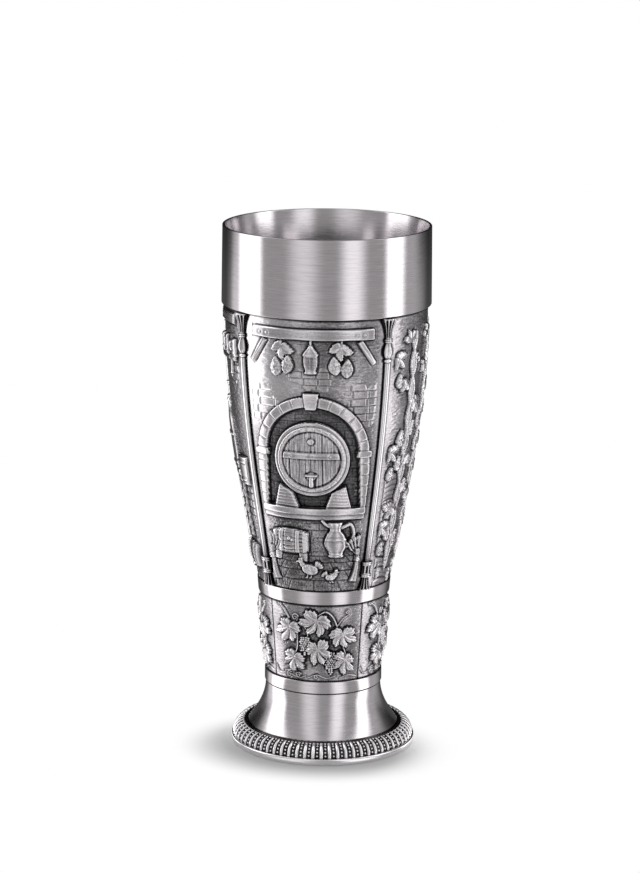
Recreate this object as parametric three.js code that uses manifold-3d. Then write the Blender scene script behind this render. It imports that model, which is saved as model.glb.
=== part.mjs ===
// Footed pewter beer beaker: a spun liner cup dressed with turned bands and cast relief panels,
// on a flared foot with a ribbed ring.
// Millimetres, +Z up. The origin is the centre of the face that the foot ring stands on; the front is -Y.
// Angles round the axis start at the front and grow towards +X.
import * as THREE from "three";
import { mergeVertices } from "three/addons/utils/BufferGeometryUtils.js";
import Module from "manifold-3d";

const wasm = await Module();
wasm.setup();

// Heights that show, stacked from the table up.
const FOOT_RING_HEIGHT = 8;
const FLARE_HEIGHT = 16.8;
const STEM_BAND_HEIGHT = 4.7;
const VINE_HEIGHT = 31.8;
const WAIST_BAND_HEIGHT = 5.2;
const SCENE_HEIGHT = 108.5;
const COLLAR_HEIGHT = 30;

// Outside radii. The relief ground is the wall between raised motifs.
const RIM_RADIUS = 40;
const COLLAR_SPREAD = 0.3; // the collar is this much wider at its lower edge than at the rim
const COLLAR_OVERHANG = 1.4; // lower edge of the collar past the relief ground
const WAIST_RADIUS = 25.5; // relief ground at the foot of the scene panels
const STEM_RADIUS = 22.4; // relief ground at the foot of the vine panels
const WALL_SWELL = 1.1; // power that shapes the swelling of the wall above the waist
const BAND_PROUD = 0.55; // plain bands past the relief ground
const NECK_SETBACK = 0.45; // neck of the foot inside the stem band
const FLARE_SPREAD = 6.8; // lip of the foot past its neck
const FLARE_POWER = 2.1; // power that shapes the trumpet of the foot
const FOOT_RING_WIDTH = 6.4; // foot ring past the lip of the foot

// Walls, joints and edges.
const CLEARANCE = 0.3;
const LIP_WALL = 0.9;
const CUP_WALL = 1;
const CUP_FLOOR = 1.6;
const CUP_CORNER = 3;
const CUP_TUCK = 10; // the cup's top reaches this far up inside the collar
const PANEL_WALL = 1;
const TONGUE_WALL = 0.5; // thinned edge of a panel
const TUCK = 1.5; // length of that edge behind a band
const LEDGE_THICKNESS = 1.5; // ledge in the stem band that the cup stands on
const LEDGE_WIDTH = 3.2;
const FLARE_WALL = 1.2;
const FLARE_EDGE = 1; // upright edge round the lip of the foot
const SPIGOT_WALL = 1;
const SPIGOT_HEIGHT = 1.5;
const SEAT_WIDTH = 1.8; // seat in the foot ring under the lip of the foot
const EDGE_BREAK = 0.35;

// Foot ring.
const PLAIN_RIM_HEIGHT = 2.6;
const PLAIN_RIM_STEP = 0.5;
const RING_CREST = 0.7; // flat crest between the seat and the quarter-round
const RIB_COUNT = 68;
const RIB_RELIEF = 0.4;

// Colonnettes over the seams, described from the top down. Widths are half widths.
const CAPITAL_HEIGHT = 7.8;
const CAPITAL_WIDTH = 3.3;
const CAPITAL_NECK = 2.1;
const BULB_HEIGHT = 6.2;
const BULB_WIDTH = 2.35;
const BULB_NECK = 1.15;
const RING_HEIGHT = 1.5;
const RING_WIDTH = 1.9;
const SHAFT_TOP_WIDTH = 1.4;
const SHAFT_FOOT_WIDTH = 1.25;
const PLINTH_HEIGHT = 3.4;
const PLINTH_WIDTH = 2.1;
const PLINTH_RING_WIDTH = 2.45;
const SKIRT_HEIGHT = 5;
const SKIRT_NECK = 1.5;
const SKIRT_WIDTH = 2.75;
const COLUMN_DEPTH = 0.85; // how far a colonnette stands out, per half width

// Heights of cast motifs over the ground.
const RELIEF = 1.7; // casks, jugs, kettles and sheaves
const MIDDLE_RELIEF = 1.3; // hops, grapes, timbers and shelves
const LOW_RELIEF = 1; // masonry and poles
const LEAF_CROWN = 1.2; // a leaf at its stalk
const LEAF_RIM = 0.8; // a leaf along its edge
const ROOT = 0.5; // motifs go this deep into the ground

// Front: a cask in a cellar niche.
const CASK_RADIUS = 13;
const CASK_HOOP = 1.8;
const CASK_BELLY = 14.7;
const CRADLE_WIDTH = 10;
const CRADLE_HEIGHT = 9;
const CRADLE_SPACING = 20;
const ARCH_RADIUS = 18.5;
const ARCH_WIDTH = 4;
const ARCH_LEG = 22;
const ARCH_FOOT = 34.4; // foot of the niche over the panel's lower edge
const ARCH_STONES = 9;
const ARCH_JOINT = 0.5;
const KEYSTONE_WIDTH = 5;
const KEYSTONE_PROUD = 1; // past the arch, above and below
const IMPOST_HEIGHT = 2.4;
const IMPOST_WIDTH = 5.6;
const BENCH_LENGTH = 49;
const BENCH_HEIGHT = 3;
const BEAM_HEIGHT = 4;
const BRACE_WIDTH = 2.2;
const BRACE_RUN = 6;
const BRACE_RISE = 9;
const KEG_LENGTH = 15;
const KEG_RADIUS = 5;
const KEG_END = 3.9;
const JUG_HEIGHT = 14;
const JUG_RADIUS = 4.4;
const JUG_FOOT = 2.7;
const JUG_NECK = 2.4;
const JUG_MOUTH = 3;
const LANTERN_HEIGHT = 11;
const LANTERN_RADIUS = 2.8;
const SMALL_SHEAF_HEIGHT = 17;
const SMALL_SHEAF_RADIUS = 3.8;

// Right: hops on their poles before a kiln.
const POLE_WIDTH = 1.8;
const POLE_LENGTH = 86;
const HOP_LEAF = 4.6;
const CONE_LENGTH = 7.2;
const CONE_RADIUS = 2.4;
const BARN_WIDTH = 11;
const BARN_HEIGHT = 7;
const KILN_RADIUS = 4.3;
const KILN_HEIGHT = 22;

// Back: a windmill over sheaves of corn.
const MILL_HEIGHT = 40;
const MILL_RADIUS = 9;
const MILL_TOP = 5.6;
const MILL_CAP = 6.6;
const SAIL_LENGTH = 20;
const SAIL_WIDTH = 4.2;
const SAIL_LEAN = 0.35; // radians from level
const SHEAF_HEIGHT = 26;
const SHEAF_RADIUS = 7;

// Left: a kettle on its hearth, with mugs on a shelf.
const KETTLE_RADIUS = 13;
const KETTLE_HEIGHT = 27;
const KETTLE_NECK = 2.9;
const PIPE_LENGTH = 33;
const PIPE_WIDTH = 4.2;
const HEARTH_WIDTH = 30;
const HEARTH_HEIGHT = 24;
const FIRE_HOLE = 8;
const SHELF_LENGTH = 50;
const SHELF_HEIGHT = 1.9;
const MUG_HEIGHT = 7;
const MUG_WIDTH = 4.2;

// Vine frieze.
const BUNCH_LENGTH = 8.8;
const BUNCH_RADIUS = 2.3;

// Facets.
const SIDES = 32; // a multiple of eight, so that every seam lies on a corner
const WALL_SPANS = 5;
const FLARE_SPANS = 5;
const ROUND_SPANS = 3;
const COLUMN_SPANS = 4;
const MOTIF_SIDES = 8;
const CASK_SIDES = 14;
const HANGING_SIDES = 6; // on hop cones and bunches of grapes
const BEND_STEP = 10; // longest piece of a bar that bends round the wall
const RISE_STEP = 30; // longest piece of a bar that goes up it
const WELD = 1e-4;

// Levels.
const QUARTER = Math.PI / 2;
const LIP_Z = FOOT_RING_HEIGHT;
const STEM_Z = LIP_Z + FLARE_HEIGHT;
const VINE_Z = STEM_Z + STEM_BAND_HEIGHT;
const WAIST_Z = VINE_Z + VINE_HEIGHT;
const SCENE_Z = WAIST_Z + WAIST_BAND_HEIGHT;
const COLLAR_Z = SCENE_Z + SCENE_HEIGHT;
const RIM_Z = COLLAR_Z + COLLAR_HEIGHT;
const CUP_FLOOR_Z = STEM_Z + LEDGE_THICKNESS + CLEARANCE;
const CUP_TOP_Z = COLLAR_Z + CUP_TUCK;
const SCENE_TOP_RADIUS = RIM_RADIUS + COLLAR_SPREAD - COLLAR_OVERHANG;
const NECK_RADIUS = STEM_RADIUS + BAND_PROUD - NECK_SETBACK;
const LIP_RADIUS = NECK_RADIUS + FLARE_SPREAD;
const FOOT_RADIUS = LIP_RADIUS + CLEARANCE + FOOT_RING_WIDTH;

// Radius of the relief ground: a cone up to the waist, then a quarter sine that swells towards the collar.
function wallRadius(z) {
  if (z <= SCENE_Z) {
    const share = (z - VINE_Z) / (SCENE_Z - VINE_Z);
    return STEM_RADIUS + (WAIST_RADIUS - STEM_RADIUS) * share;
  }
  const share = Math.min((z - SCENE_Z) / SCENE_HEIGHT, 1);
  return WAIST_RADIUS + (SCENE_TOP_RADIUS - WAIST_RADIUS) * Math.sin(QUARTER * share ** WALL_SWELL);
}

const backRadius = (z) => wallRadius(z) - PANEL_WALL;
const tongueRadius = (z) => backRadius(z) + TONGUE_WALL;
const cupRadius = (z) => backRadius(z) - CLEARANCE;

// Evenly spaced numbers from one value to another.
function steps(from, to, spans) {
  return Array.from({ length: spans + 1 }, (unused, i) => from + ((to - from) * i) / spans);
}

// A profile of [radius, height] points turned round the axis.
function turn(profile) {
  const points = profile.map(([r, z]) => new THREE.Vector2(r, z));
  return new THREE.LatheGeometry(points, SIDES).rotateX(QUARTER);
}

// A ring: the profile closes on itself.
const turnRing = (profile) => turn([...profile, profile[0]]);

// Solids for joining and cutting.
function solidOf(geometry) {
  const bare = geometry.clone();
  bare.deleteAttribute("normal");
  bare.deleteAttribute("uv");
  const merged = mergeVertices(bare, WELD);
  const corners = merged.index ? merged.index.array : merged.attributes.position.array.map((v, i) => i);
  const triangles = [];
  for (let i = 0; i < corners.length; i += 3) {
    const [a, b, c] = [corners[i], corners[i + 1], corners[i + 2]];
    if (a !== b && b !== c && c !== a) triangles.push(a, b, c);
  }
  return new wasm.Manifold(
    new wasm.Mesh({
      numProp: 3,
      vertProperties: new Float32Array(merged.attributes.position.array),
      triVerts: new Uint32Array(triangles),
    }),
  );
}

function geometryOf(solid) {
  const mesh = solid.getMesh();
  const geometry = new THREE.BufferGeometry();
  geometry.setAttribute("position", new THREE.BufferAttribute(new Float32Array(mesh.vertProperties), 3));
  geometry.setIndex(Array.from(mesh.triVerts));
  geometry.computeVertexNormals();
  return geometry;
}

// A quarter of the round between two heights, its sides moved in by inset so that neighbours keep a seam.
function quarter(angle, inset, from, to) {
  const far = 2 * FOOT_RADIUS + 2 * RIM_RADIUS;
  const apex = inset * Math.SQRT2;
  const outline = new THREE.Shape([
    new THREE.Vector2(0, -apex),
    new THREE.Vector2(-far, -apex - far),
    new THREE.Vector2(far, -apex - far),
  ]);
  const wedge = new THREE.ExtrudeGeometry(outline, { depth: to - from, bevelEnabled: false });
  return solidOf(wedge.translate(0, 0, from).rotateZ(angle));
}

// Motifs are made flat, x to the right, y up the wall and z out of it, and are then bent onto the wall.
function bendOnWall(geometry, angle, height) {
  const place = geometry.attributes.position;
  for (let i = 0; i < place.count; i++) {
    const z = height + place.getY(i);
    const ground = wallRadius(z);
    const turned = angle + place.getX(i) / ground;
    const radius = ground + place.getZ(i);
    place.setXYZ(i, radius * Math.sin(turned), -radius * Math.cos(turned), z);
  }
  return geometry;
}

// The front half of a body turned about an upright axis, pressed flat to the given height of relief.
// Its back and its sides are sunk, so that it comes out of the ground with no undercut.
function turnedMotif(profile, relief, sides = MOTIF_SIDES) {
  const points = profile.map(([r, y]) => new THREE.Vector2(r, y));
  const widest = Math.max(...profile.map(([r]) => r));
  const body = new THREE.LatheGeometry(points, sides, QUARTER).scale(1, 1, relief / widest);
  const place = body.attributes.position;
  for (let i = 0; i < place.count; i++) {
    if (place.getZ(i) < WELD) place.setZ(i, -ROOT);
  }
  return body;
}

// A round boss that faces out of the wall, its profile given from the middle outwards.
function bossMotif(profile, sides) {
  const points = profile.map(([r, h]) => new THREE.Vector2(r, h));
  const rim = profile[profile.length - 1][0];
  points.unshift(new THREE.Vector2(0, profile[0][1]));
  points.push(new THREE.Vector2(rim, -ROOT), new THREE.Vector2(0, -ROOT));
  return new THREE.LatheGeometry(points.reverse(), sides).rotateX(QUARTER);
}

// A straight bar between two points of the panel, cut into short lengths so that it can bend.
function barMotif(from, to, width, relief) {
  const run = new THREE.Vector2(to[0] - from[0], to[1] - from[1]);
  const spans = Math.ceil(Math.abs(run.x) / BEND_STEP + Math.abs(run.y) / RISE_STEP);
  const bar = new THREE.BoxGeometry(run.length(), width, relief + ROOT, spans, 1, 1);
  bar.translate(0, 0, (relief - ROOT) / 2).rotateZ(run.angle());
  return bar.translate((from[0] + to[0]) / 2, (from[1] + to[1]) / 2, 0);
}

// A flat plate, its corners given anticlockwise.
function plateMotif(corners, relief) {
  const shape = new THREE.Shape(corners.map(([x, y]) => new THREE.Vector2(x, y)));
  const settings = { depth: relief + ROOT, bevelEnabled: false };
  return new THREE.ExtrudeGeometry(shape, settings).translate(0, 0, -ROOT);
}

// One side of a leaf from its tip to its stalk: angle from the tip, and reach per size of the leaf.
const VINE_EDGE = [[0, 1.3], [0.43, 0.6], [0.87, 1.15], [1.78, 0.94], [Math.PI, 0.3]];
const HOP_EDGE = [[0, 1.2], [0.52, 0.6], [1.2, 1.1], [Math.PI, 0.35]];
const LEAF_SETBACK = 0.2; // stalk behind the leaf's middle, per size

// A low pillow over a leaf's outline, highest at the stalk. The tip points up before the turn.
function leafMotif(side, size, turned) {
  const right = side.map(([angle, reach]) => [reach * Math.sin(angle), reach * Math.cos(angle)]);
  const left = right.slice(1, -1).reverse().map(([x, y]) => [-x, y]);
  const edge = [...right, ...left].map(([x, y]) => [size * x, size * (y - LEAF_SETBACK)]);
  const stalk = [0, -size * LEAF_SETBACK];
  const corners = [[...stalk, LEAF_CROWN], [...stalk, -ROOT]];
  const faces = [];
  edge.forEach(([x, y], i) => {
    const [a, b] = [2 + i * 2, 2 + ((i + 1) % edge.length) * 2];
    corners.push([x, y, LEAF_RIM], [x, y, -ROOT]);
    faces.push(0, b, a, a, b, b + 1, a, b + 1, a + 1, a + 1, b + 1, 1);
  });
  const leaf = new THREE.BufferGeometry();
  leaf.setAttribute("position", new THREE.Float32BufferAttribute(corners.flat(), 3));
  leaf.setIndex(faces);
  return leaf.rotateZ(turned);
}

function caskHead() {
  const head = CASK_RADIUS - CASK_HOOP;
  const profile = [
    [head, MIDDLE_RELIEF],
    [head, RELIEF],
    [CASK_RADIUS, RELIEF],
    [CASK_RADIUS, LOW_RELIEF],
    [CASK_BELLY, LOW_RELIEF / 2],
  ];
  return bossMotif(profile, CASK_SIDES);
}

// One of the two wedges that the cask lies on.
function cradle(side) {
  const inner = CRADLE_SPACING / 2 - CRADLE_WIDTH / 2;
  const outer = CRADLE_SPACING / 2 + CRADLE_WIDTH / 2;
  const high = [outer - CRADLE_WIDTH / 5, CRADLE_HEIGHT];
  const low = [inner + CRADLE_WIDTH / 4, CRADLE_HEIGHT * 0.7];
  const corners = [[inner, 0], [outer, 0], high, low];
  const placed = corners.map(([x, y]) => [side * x, y]);
  return plateMotif(side > 0 ? placed : placed.reverse(), LOW_RELIEF);
}

function keg() {
  const half = KEG_LENGTH / 2;
  const belly = KEG_LENGTH / 6;
  const lower = [[0, -half], [KEG_END, -half], [KEG_RADIUS, -belly]];
  const upper = [[KEG_RADIUS, belly], [KEG_END, half], [0, half]];
  return turnedMotif([...lower, ...upper], RELIEF);
}

function jug() {
  const [low, belly, high, top] = steps(-JUG_HEIGHT / 2, JUG_HEIGHT / 2, 3);
  const body = [[0, low], [JUG_FOOT, low], [JUG_RADIUS, belly]];
  return turnedMotif([...body, [JUG_NECK, high], [JUG_MOUTH, top], [0, top]], RELIEF);
}

// Stalks tied a third of the way up, and ears spread above.
function sheaf(height, radius) {
  const [foot, tie, ears, top] = steps(-height / 2, height / 2, 3);
  const profile = [[0, foot], [radius * 0.75, foot], [radius * 0.42, tie], [radius, ears], [0, top]];
  return turnedMotif(profile, RELIEF);
}

// A hop cone or a bunch of grapes, its tip down.
function hanging(length, radius) {
  const [tip, low, high, stalk] = steps(-length / 2, length / 2, 3);
  return turnedMotif([[0, tip], [radius * 0.75, low], [radius, high], [0, stalk]], RELIEF, HANGING_SIDES);
}

function lantern() {
  const [foot, waist, eave, top] = steps(-LANTERN_HEIGHT / 2, LANTERN_HEIGHT / 2, 3);
  const glass = LANTERN_RADIUS * 0.75;
  const body = [[0, foot], [glass, foot], [LANTERN_RADIUS, waist], [LANTERN_RADIUS, eave]];
  return turnedMotif([...body, [glass / 2, top], [0, top]], MIDDLE_RELIEF);
}

// One stone of the arch over the niche, counted from the right. Joints are open.
function archStone(count) {
  const outer = ARCH_RADIUS + ARCH_WIDTH;
  const joint = ARCH_JOINT / (2 * ARCH_RADIUS);
  const from = (count * Math.PI) / ARCH_STONES + joint;
  const to = ((count + 1) * Math.PI) / ARCH_STONES - joint;
  const corners = [[outer, from], [outer, to], [ARCH_RADIUS, to], [ARCH_RADIUS, from]];
  return plateMotif(corners.map(([r, a]) => [r * Math.cos(a), r * Math.sin(a)]), LOW_RELIEF);
}

function archLeg(side) {
  const middle = side * (ARCH_RADIUS + ARCH_WIDTH / 2);
  return uprightBar(ARCH_LEG, ARCH_WIDTH, LOW_RELIEF).translate(middle, -ARCH_LEG / 2, 0);
}

function keystone() {
  const [foot, top] = [ARCH_RADIUS - KEYSTONE_PROUD, ARCH_RADIUS + ARCH_WIDTH + KEYSTONE_PROUD];
  const [narrow, wide] = [KEYSTONE_WIDTH * 0.4, KEYSTONE_WIDTH * 0.6];
  return plateMotif([[-narrow, foot], [narrow, foot], [wide, top], [-wide, top]], RELIEF);
}

function impost(side) {
  const middle = side * (ARCH_RADIUS + ARCH_WIDTH / 2);
  return levelBar(IMPOST_WIDTH, IMPOST_HEIGHT, MIDDLE_RELIEF).translate(middle, 0, 0);
}

const levelBar = (length, height, relief) => barMotif([-length / 2, 0], [length / 2, 0], height, relief);
const uprightBar = (length, width, relief) => barMotif([0, -length / 2], [0, length / 2], width, relief);

function barn() {
  const [half, eave, ridge] = [BARN_WIDTH / 2, BARN_HEIGHT, BARN_HEIGHT * 1.7];
  const roof = [[half, eave], [half * 0.6, ridge], [-half * 0.6, ridge], [-half, eave]];
  return plateMotif([[-half, 0], [half, 0], ...roof], LOW_RELIEF);
}

function kiln() {
  const [foot, eave, neck, top] = [0, KILN_HEIGHT * 0.5, KILN_HEIGHT * 0.8, KILN_HEIGHT];
  const cowl = KILN_RADIUS * 0.35;
  const profile = [[0, foot], [KILN_RADIUS, foot], [KILN_RADIUS, eave], [cowl, neck], [0, top]];
  return turnedMotif(profile, LOW_RELIEF);
}

function mill() {
  const [low, high] = [-MILL_HEIGHT / 2, MILL_HEIGHT / 2];
  const tower = [[0, low], [MILL_RADIUS, low], [MILL_TOP, high]];
  const cap = [[MILL_CAP, high], [MILL_CAP / 2, high + MILL_TOP], [0, high + MILL_CAP]];
  return turnedMotif([...tower, ...cap], MIDDLE_RELIEF);
}

function kettle() {
  const [low, high] = [-KETTLE_HEIGHT / 2, KETTLE_HEIGHT / 2];
  const profile = [
    [0, low],
    [KETTLE_RADIUS * 0.85, low],
    [KETTLE_RADIUS, low / 3],
    [KETTLE_RADIUS * 0.78, high / 3],
    [KETTLE_NECK, high * 0.7],
    [KETTLE_NECK, high],
    [0, high],
  ];
  return turnedMotif(profile, RELIEF);
}

function hearthSide(side) {
  const width = HEARTH_WIDTH / 2 - FIRE_HOLE;
  return uprightBar(HEARTH_HEIGHT, width, LOW_RELIEF).translate(side * (FIRE_HOLE + width / 2), 0, 0);
}

// The four scenes. place(motif, across, up) takes shares of the panel's half width and of its height.
function cellarScene(place) {
  const foot = ARCH_FOOT / SCENE_HEIGHT;
  for (let count = 0; count < ARCH_STONES; count++) place(archStone(count), 0, 0.52);
  place(keystone(), 0, 0.52);
  place(caskHead(), 0, 0.5);
  place(levelBar(BENCH_LENGTH, BENCH_HEIGHT, MIDDLE_RELIEF), 0, 0.305);
  place(levelBar(BENCH_LENGTH, BEAM_HEIGHT, MIDDLE_RELIEF), 0, 0.946);
  place(lantern(), 0, 0.86);
  place(keg().rotateZ(QUARTER), -0.4, 0.19);
  place(jug(), 0.38, 0.2);
  for (const side of [-1, 1]) {
    place(cradle(side), 0, foot);
    place(archLeg(side), 0, 0.52);
    place(impost(side), 0, 0.516);
    place(barMotif([0, 0], [-BRACE_RUN * side, BRACE_RISE], BRACE_WIDTH, LOW_RELIEF), 0.82 * side, 0.84);
    place(sheaf(SMALL_SHEAF_HEIGHT, SMALL_SHEAF_RADIUS), 0.82 * side, 0.115);
    place(leafMotif(HOP_EDGE, HOP_LEAF, Math.PI), 0.37 * side, 0.895);
    place(hanging(CONE_LENGTH, CONE_RADIUS), 0.3 * side, 0.84);
  }
}

function hopScene(place) {
  place(barn(), 0.06, 0.364);
  place(kiln(), 0.44, 0.36);
  for (const across of [-0.5, 0, 0.5]) {
    const lift = 0.1 * across;
    place(uprightBar(POLE_LENGTH, POLE_WIDTH, LOW_RELIEF), across, 0.5);
    place(leafMotif(HOP_EDGE, HOP_LEAF, 2.4), across + 0.1, 0.53 + lift);
    for (const [up, side] of [[0.34, -1], [0.72, 1]]) {
      place(leafMotif(HOP_EDGE, HOP_LEAF, Math.PI + side / 2), across + 0.14 * side, up + lift);
      place(hanging(CONE_LENGTH, CONE_RADIUS), across - 0.13 * side, up + lift - 0.12);
    }
  }
  for (const [across, up] of [[-0.8, 0.5], [0.8, 0.42], [-0.78, 0.22], [0.78, 0.8], [-0.8, 0.84]]) {
    place(leafMotif(HOP_EDGE, HOP_LEAF, Math.PI - across), across, up);
  }
}

function millScene(place) {
  place(mill(), -0.1, 0.56);
  for (const turned of [SAIL_LEAN, SAIL_LEAN + QUARTER]) {
    const reach = [SAIL_LENGTH * Math.cos(turned), SAIL_LENGTH * Math.sin(turned)];
    place(barMotif([-reach[0], -reach[1]], reach, SAIL_WIDTH, RELIEF), -0.1, 0.74);
  }
  for (const across of [-0.52, 0.06, 0.6]) place(sheaf(SHEAF_HEIGHT, SHEAF_RADIUS), across, 0.17);
}

function brewScene(place) {
  place(kettle(), 0, 0.53);
  place(uprightBar(PIPE_LENGTH, PIPE_WIDTH, MIDDLE_RELIEF), 0, 0.79);
  place(levelBar(SHELF_LENGTH, SHELF_HEIGHT, MIDDLE_RELIEF), 0, 0.824);
  place(levelBar(SHELF_LENGTH, BEAM_HEIGHT, LOW_RELIEF), 0, 0.965);
  for (const side of [-1, 1]) {
    place(hearthSide(side), 0, 0.28);
    place(keg().rotateZ(QUARTER * (1 + side) * 0.5), 0.5 * side, 0.1);
    for (const across of [0.29, 0.54, 0.79]) {
      place(uprightBar(MUG_HEIGHT, MUG_WIDTH, MIDDLE_RELIEF), across * side, 0.866);
    }
  }
  place(levelBar(HEARTH_WIDTH, POLE_WIDTH, MIDDLE_RELIEF), 0, 0.395);
}

// Vine leaves round a thin stem, with two bunches of grapes. Size and turn follow the place.
function vineScene(place) {
  const leaves = [
    [-0.54, 0.66, 5.4, 2.85],
    [0.03, 0.77, 5.8, 2.66],
    [0.59, 0.59, 5.2, 3.27],
    [-0.43, 0.28, 4.8, 3.05],
    [0.09, 0.41, 5.2, 3.39],
    [0.64, 0.27, 4.6, 3.07],
  ];
  for (const [across, up, size, turned] of leaves) place(leafMotif(VINE_EDGE, size, turned), across, up);
  place(hanging(BUNCH_LENGTH, BUNCH_RADIUS), -0.17, 0.47);
  place(hanging(BUNCH_LENGTH, BUNCH_RADIUS), 0.36, 0.26);
}

// A cast panel: a quarter shell with thinned edges behind the bands, joined with its motifs.
// Motifs are cut to the field between its seams, and to the depth of their roots.
function panel(angle, from, to, spans, scene) {
  const [low, high] = [from + CLEARANCE, to - CLEARANCE];
  const heights = steps(low, high, spans);
  const shell = turnRing([
    [backRadius(from - TUCK), from - TUCK],
    [tongueRadius(from - TUCK), from - TUCK],
    [tongueRadius(low), low],
    ...heights.map((z) => [wallRadius(z), z]),
    [tongueRadius(high), high],
    [tongueRadius(to + TUCK), to + TUCK],
    [backRadius(to + TUCK), to + TUCK],
    ...heights.slice(1, -1).reverse().map((z) => [backRadius(z), z]),
  ]);
  const border = Math.max(CAPITAL_WIDTH, SKIRT_WIDTH) + CLEARANCE;
  const room = turnRing([
    ...heights.map((z) => [wallRadius(z) + 2 * RELIEF, z]),
    ...[...heights].reverse().map((z) => [wallRadius(z) - ROOT, z]),
  ]);
  const field = solidOf(room).intersect(quarter(angle, border, low, high));
  let cast = solidOf(shell).intersect(quarter(angle, CLEARANCE / 2, 0, RIM_Z));
  scene((motif, across, up) => {
    const height = from + (to - from) * up;
    const turned = angle + (across * QUARTER) / 2;
    cast = cast.add(solidOf(bendOnWall(motif, turned, height)).intersect(field));
  });
  return geometryOf(cast);
}

// A plain band whose grooves take the thinned edges of the panels above and below it.
function waistBand() {
  const outer = (z) => wallRadius(z) + BAND_PROUD;
  const groove = (z) => tongueRadius(z) + CLEARANCE;
  const [low, high] = [WAIST_Z + TUCK + CLEARANCE, SCENE_Z - TUCK - CLEARANCE];
  return turnRing([
    [groove(WAIST_Z), WAIST_Z],
    [outer(WAIST_Z), WAIST_Z],
    [outer(SCENE_Z), SCENE_Z],
    [groove(SCENE_Z), SCENE_Z],
    [groove(high), high],
    [backRadius(high), high],
    [backRadius(low), low],
    [groove(low), low],
  ]);
}

// The band under the vine panels, with the ledge that carries the cup and guides the foot's spigot.
function stemBand() {
  const outer = STEM_RADIUS + BAND_PROUD;
  const groove = (z) => tongueRadius(z) + CLEARANCE;
  const high = VINE_Z - TUCK - CLEARANCE;
  const ledge = STEM_Z + LEDGE_THICKNESS;
  return turnRing([
    [ledgeBore(), STEM_Z],
    [outer, STEM_Z],
    [outer, VINE_Z],
    [groove(VINE_Z), VINE_Z],
    [groove(high), high],
    [backRadius(high), high],
    [backRadius(ledge), ledge],
    [ledgeBore(), ledge],
  ]);
}

const ledgeBore = () => backRadius(STEM_Z + LEDGE_THICKNESS) - LEDGE_WIDTH;

// The liner that holds the drink, closed at the floor and open at the top.
function innerCup() {
  const corner = (inset, radius) =>
    steps(-QUARTER, 0, 2).map((a) => {
      const z = CUP_FLOOR_Z + inset + radius * (1 + Math.sin(a));
      return [cupRadius(CUP_FLOOR_Z + CUP_CORNER) - inset - radius * (1 - Math.cos(a)), z];
    });
  const heights = (spans) => [...steps(SCENE_Z, COLLAR_Z, spans), CUP_TOP_Z];
  return turn([
    [0, CUP_FLOOR_Z],
    ...corner(0, CUP_CORNER),
    ...heights(WALL_SPANS).map((z) => [cupRadius(z), z]),
    ...heights(WALL_SPANS - 2).reverse().map((z) => [cupRadius(z) - CUP_WALL, z]),
    ...corner(CUP_FLOOR, CUP_CORNER - CUP_WALL).reverse().map(([r, z]) => [r + CUP_FLOOR - CUP_WALL, z]),
    [0, CUP_FLOOR_Z + CUP_FLOOR],
  ]);
}

// The collar: thin at the lip, thicker where it takes the cup and hangs over the panels.
function lipCollar() {
  const skirt = RIM_RADIUS + COLLAR_SPREAD;
  const groove = tongueRadius(COLLAR_Z) + CLEARANCE;
  const sleeve = cupRadius(CUP_TOP_Z) + CLEARANCE;
  const shoulder = CUP_TOP_Z + CLEARANCE;
  return turnRing([
    [groove, COLLAR_Z],
    [skirt - EDGE_BREAK, COLLAR_Z],
    [skirt, COLLAR_Z + EDGE_BREAK],
    [RIM_RADIUS, RIM_Z - EDGE_BREAK],
    [RIM_RADIUS - EDGE_BREAK, RIM_Z],
    [RIM_RADIUS - LIP_WALL, RIM_Z - EDGE_BREAK],
    [cupRadius(CUP_TOP_Z) - CUP_WALL, shoulder],
    [sleeve, shoulder],
    [sleeve, COLLAR_Z + TUCK + CLEARANCE],
    [groove, COLLAR_Z + TUCK + CLEARANCE],
  ]);
}

// The trumpet foot: neck, lip with an upright edge, and a spigot that fits the stem band.
function footFlare() {
  const top = STEM_Z - CLEARANCE;
  const drop = (z) => (STEM_Z - z) / FLARE_HEIGHT;
  const radius = (z) => NECK_RADIUS + FLARE_SPREAD * drop(z) ** FLARE_POWER;
  const slope = (z) => ((FLARE_SPREAD * FLARE_POWER) / FLARE_HEIGHT) * drop(z) ** (FLARE_POWER - 1);
  const outside = steps(LIP_Z, top, FLARE_SPANS).map((z) => [radius(z), z]);
  const inside = steps(LIP_Z, top - 2 * FLARE_WALL, FLARE_SPANS - 2).map((z) => {
    const length = Math.hypot(1, slope(z));
    return [radius(z) - FLARE_WALL / length, z - (FLARE_WALL * slope(z)) / length];
  });
  const spigot = ledgeBore() - CLEARANCE;
  const edge = LIP_Z - FLARE_EDGE;
  return turnRing([
    [inside[0][0], edge],
    [LIP_RADIUS, edge],
    ...outside,
    [spigot, top],
    [spigot, top + SPIGOT_HEIGHT],
    [spigot - SPIGOT_WALL, top + SPIGOT_HEIGHT],
    [spigot - SPIGOT_WALL, top - FLARE_WALL],
    [NECK_RADIUS - FLARE_WALL, top - FLARE_WALL],
    ...inside.reverse().filter(([r, z]) => z > edge + CLEARANCE / 2),
  ]);
}

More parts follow.
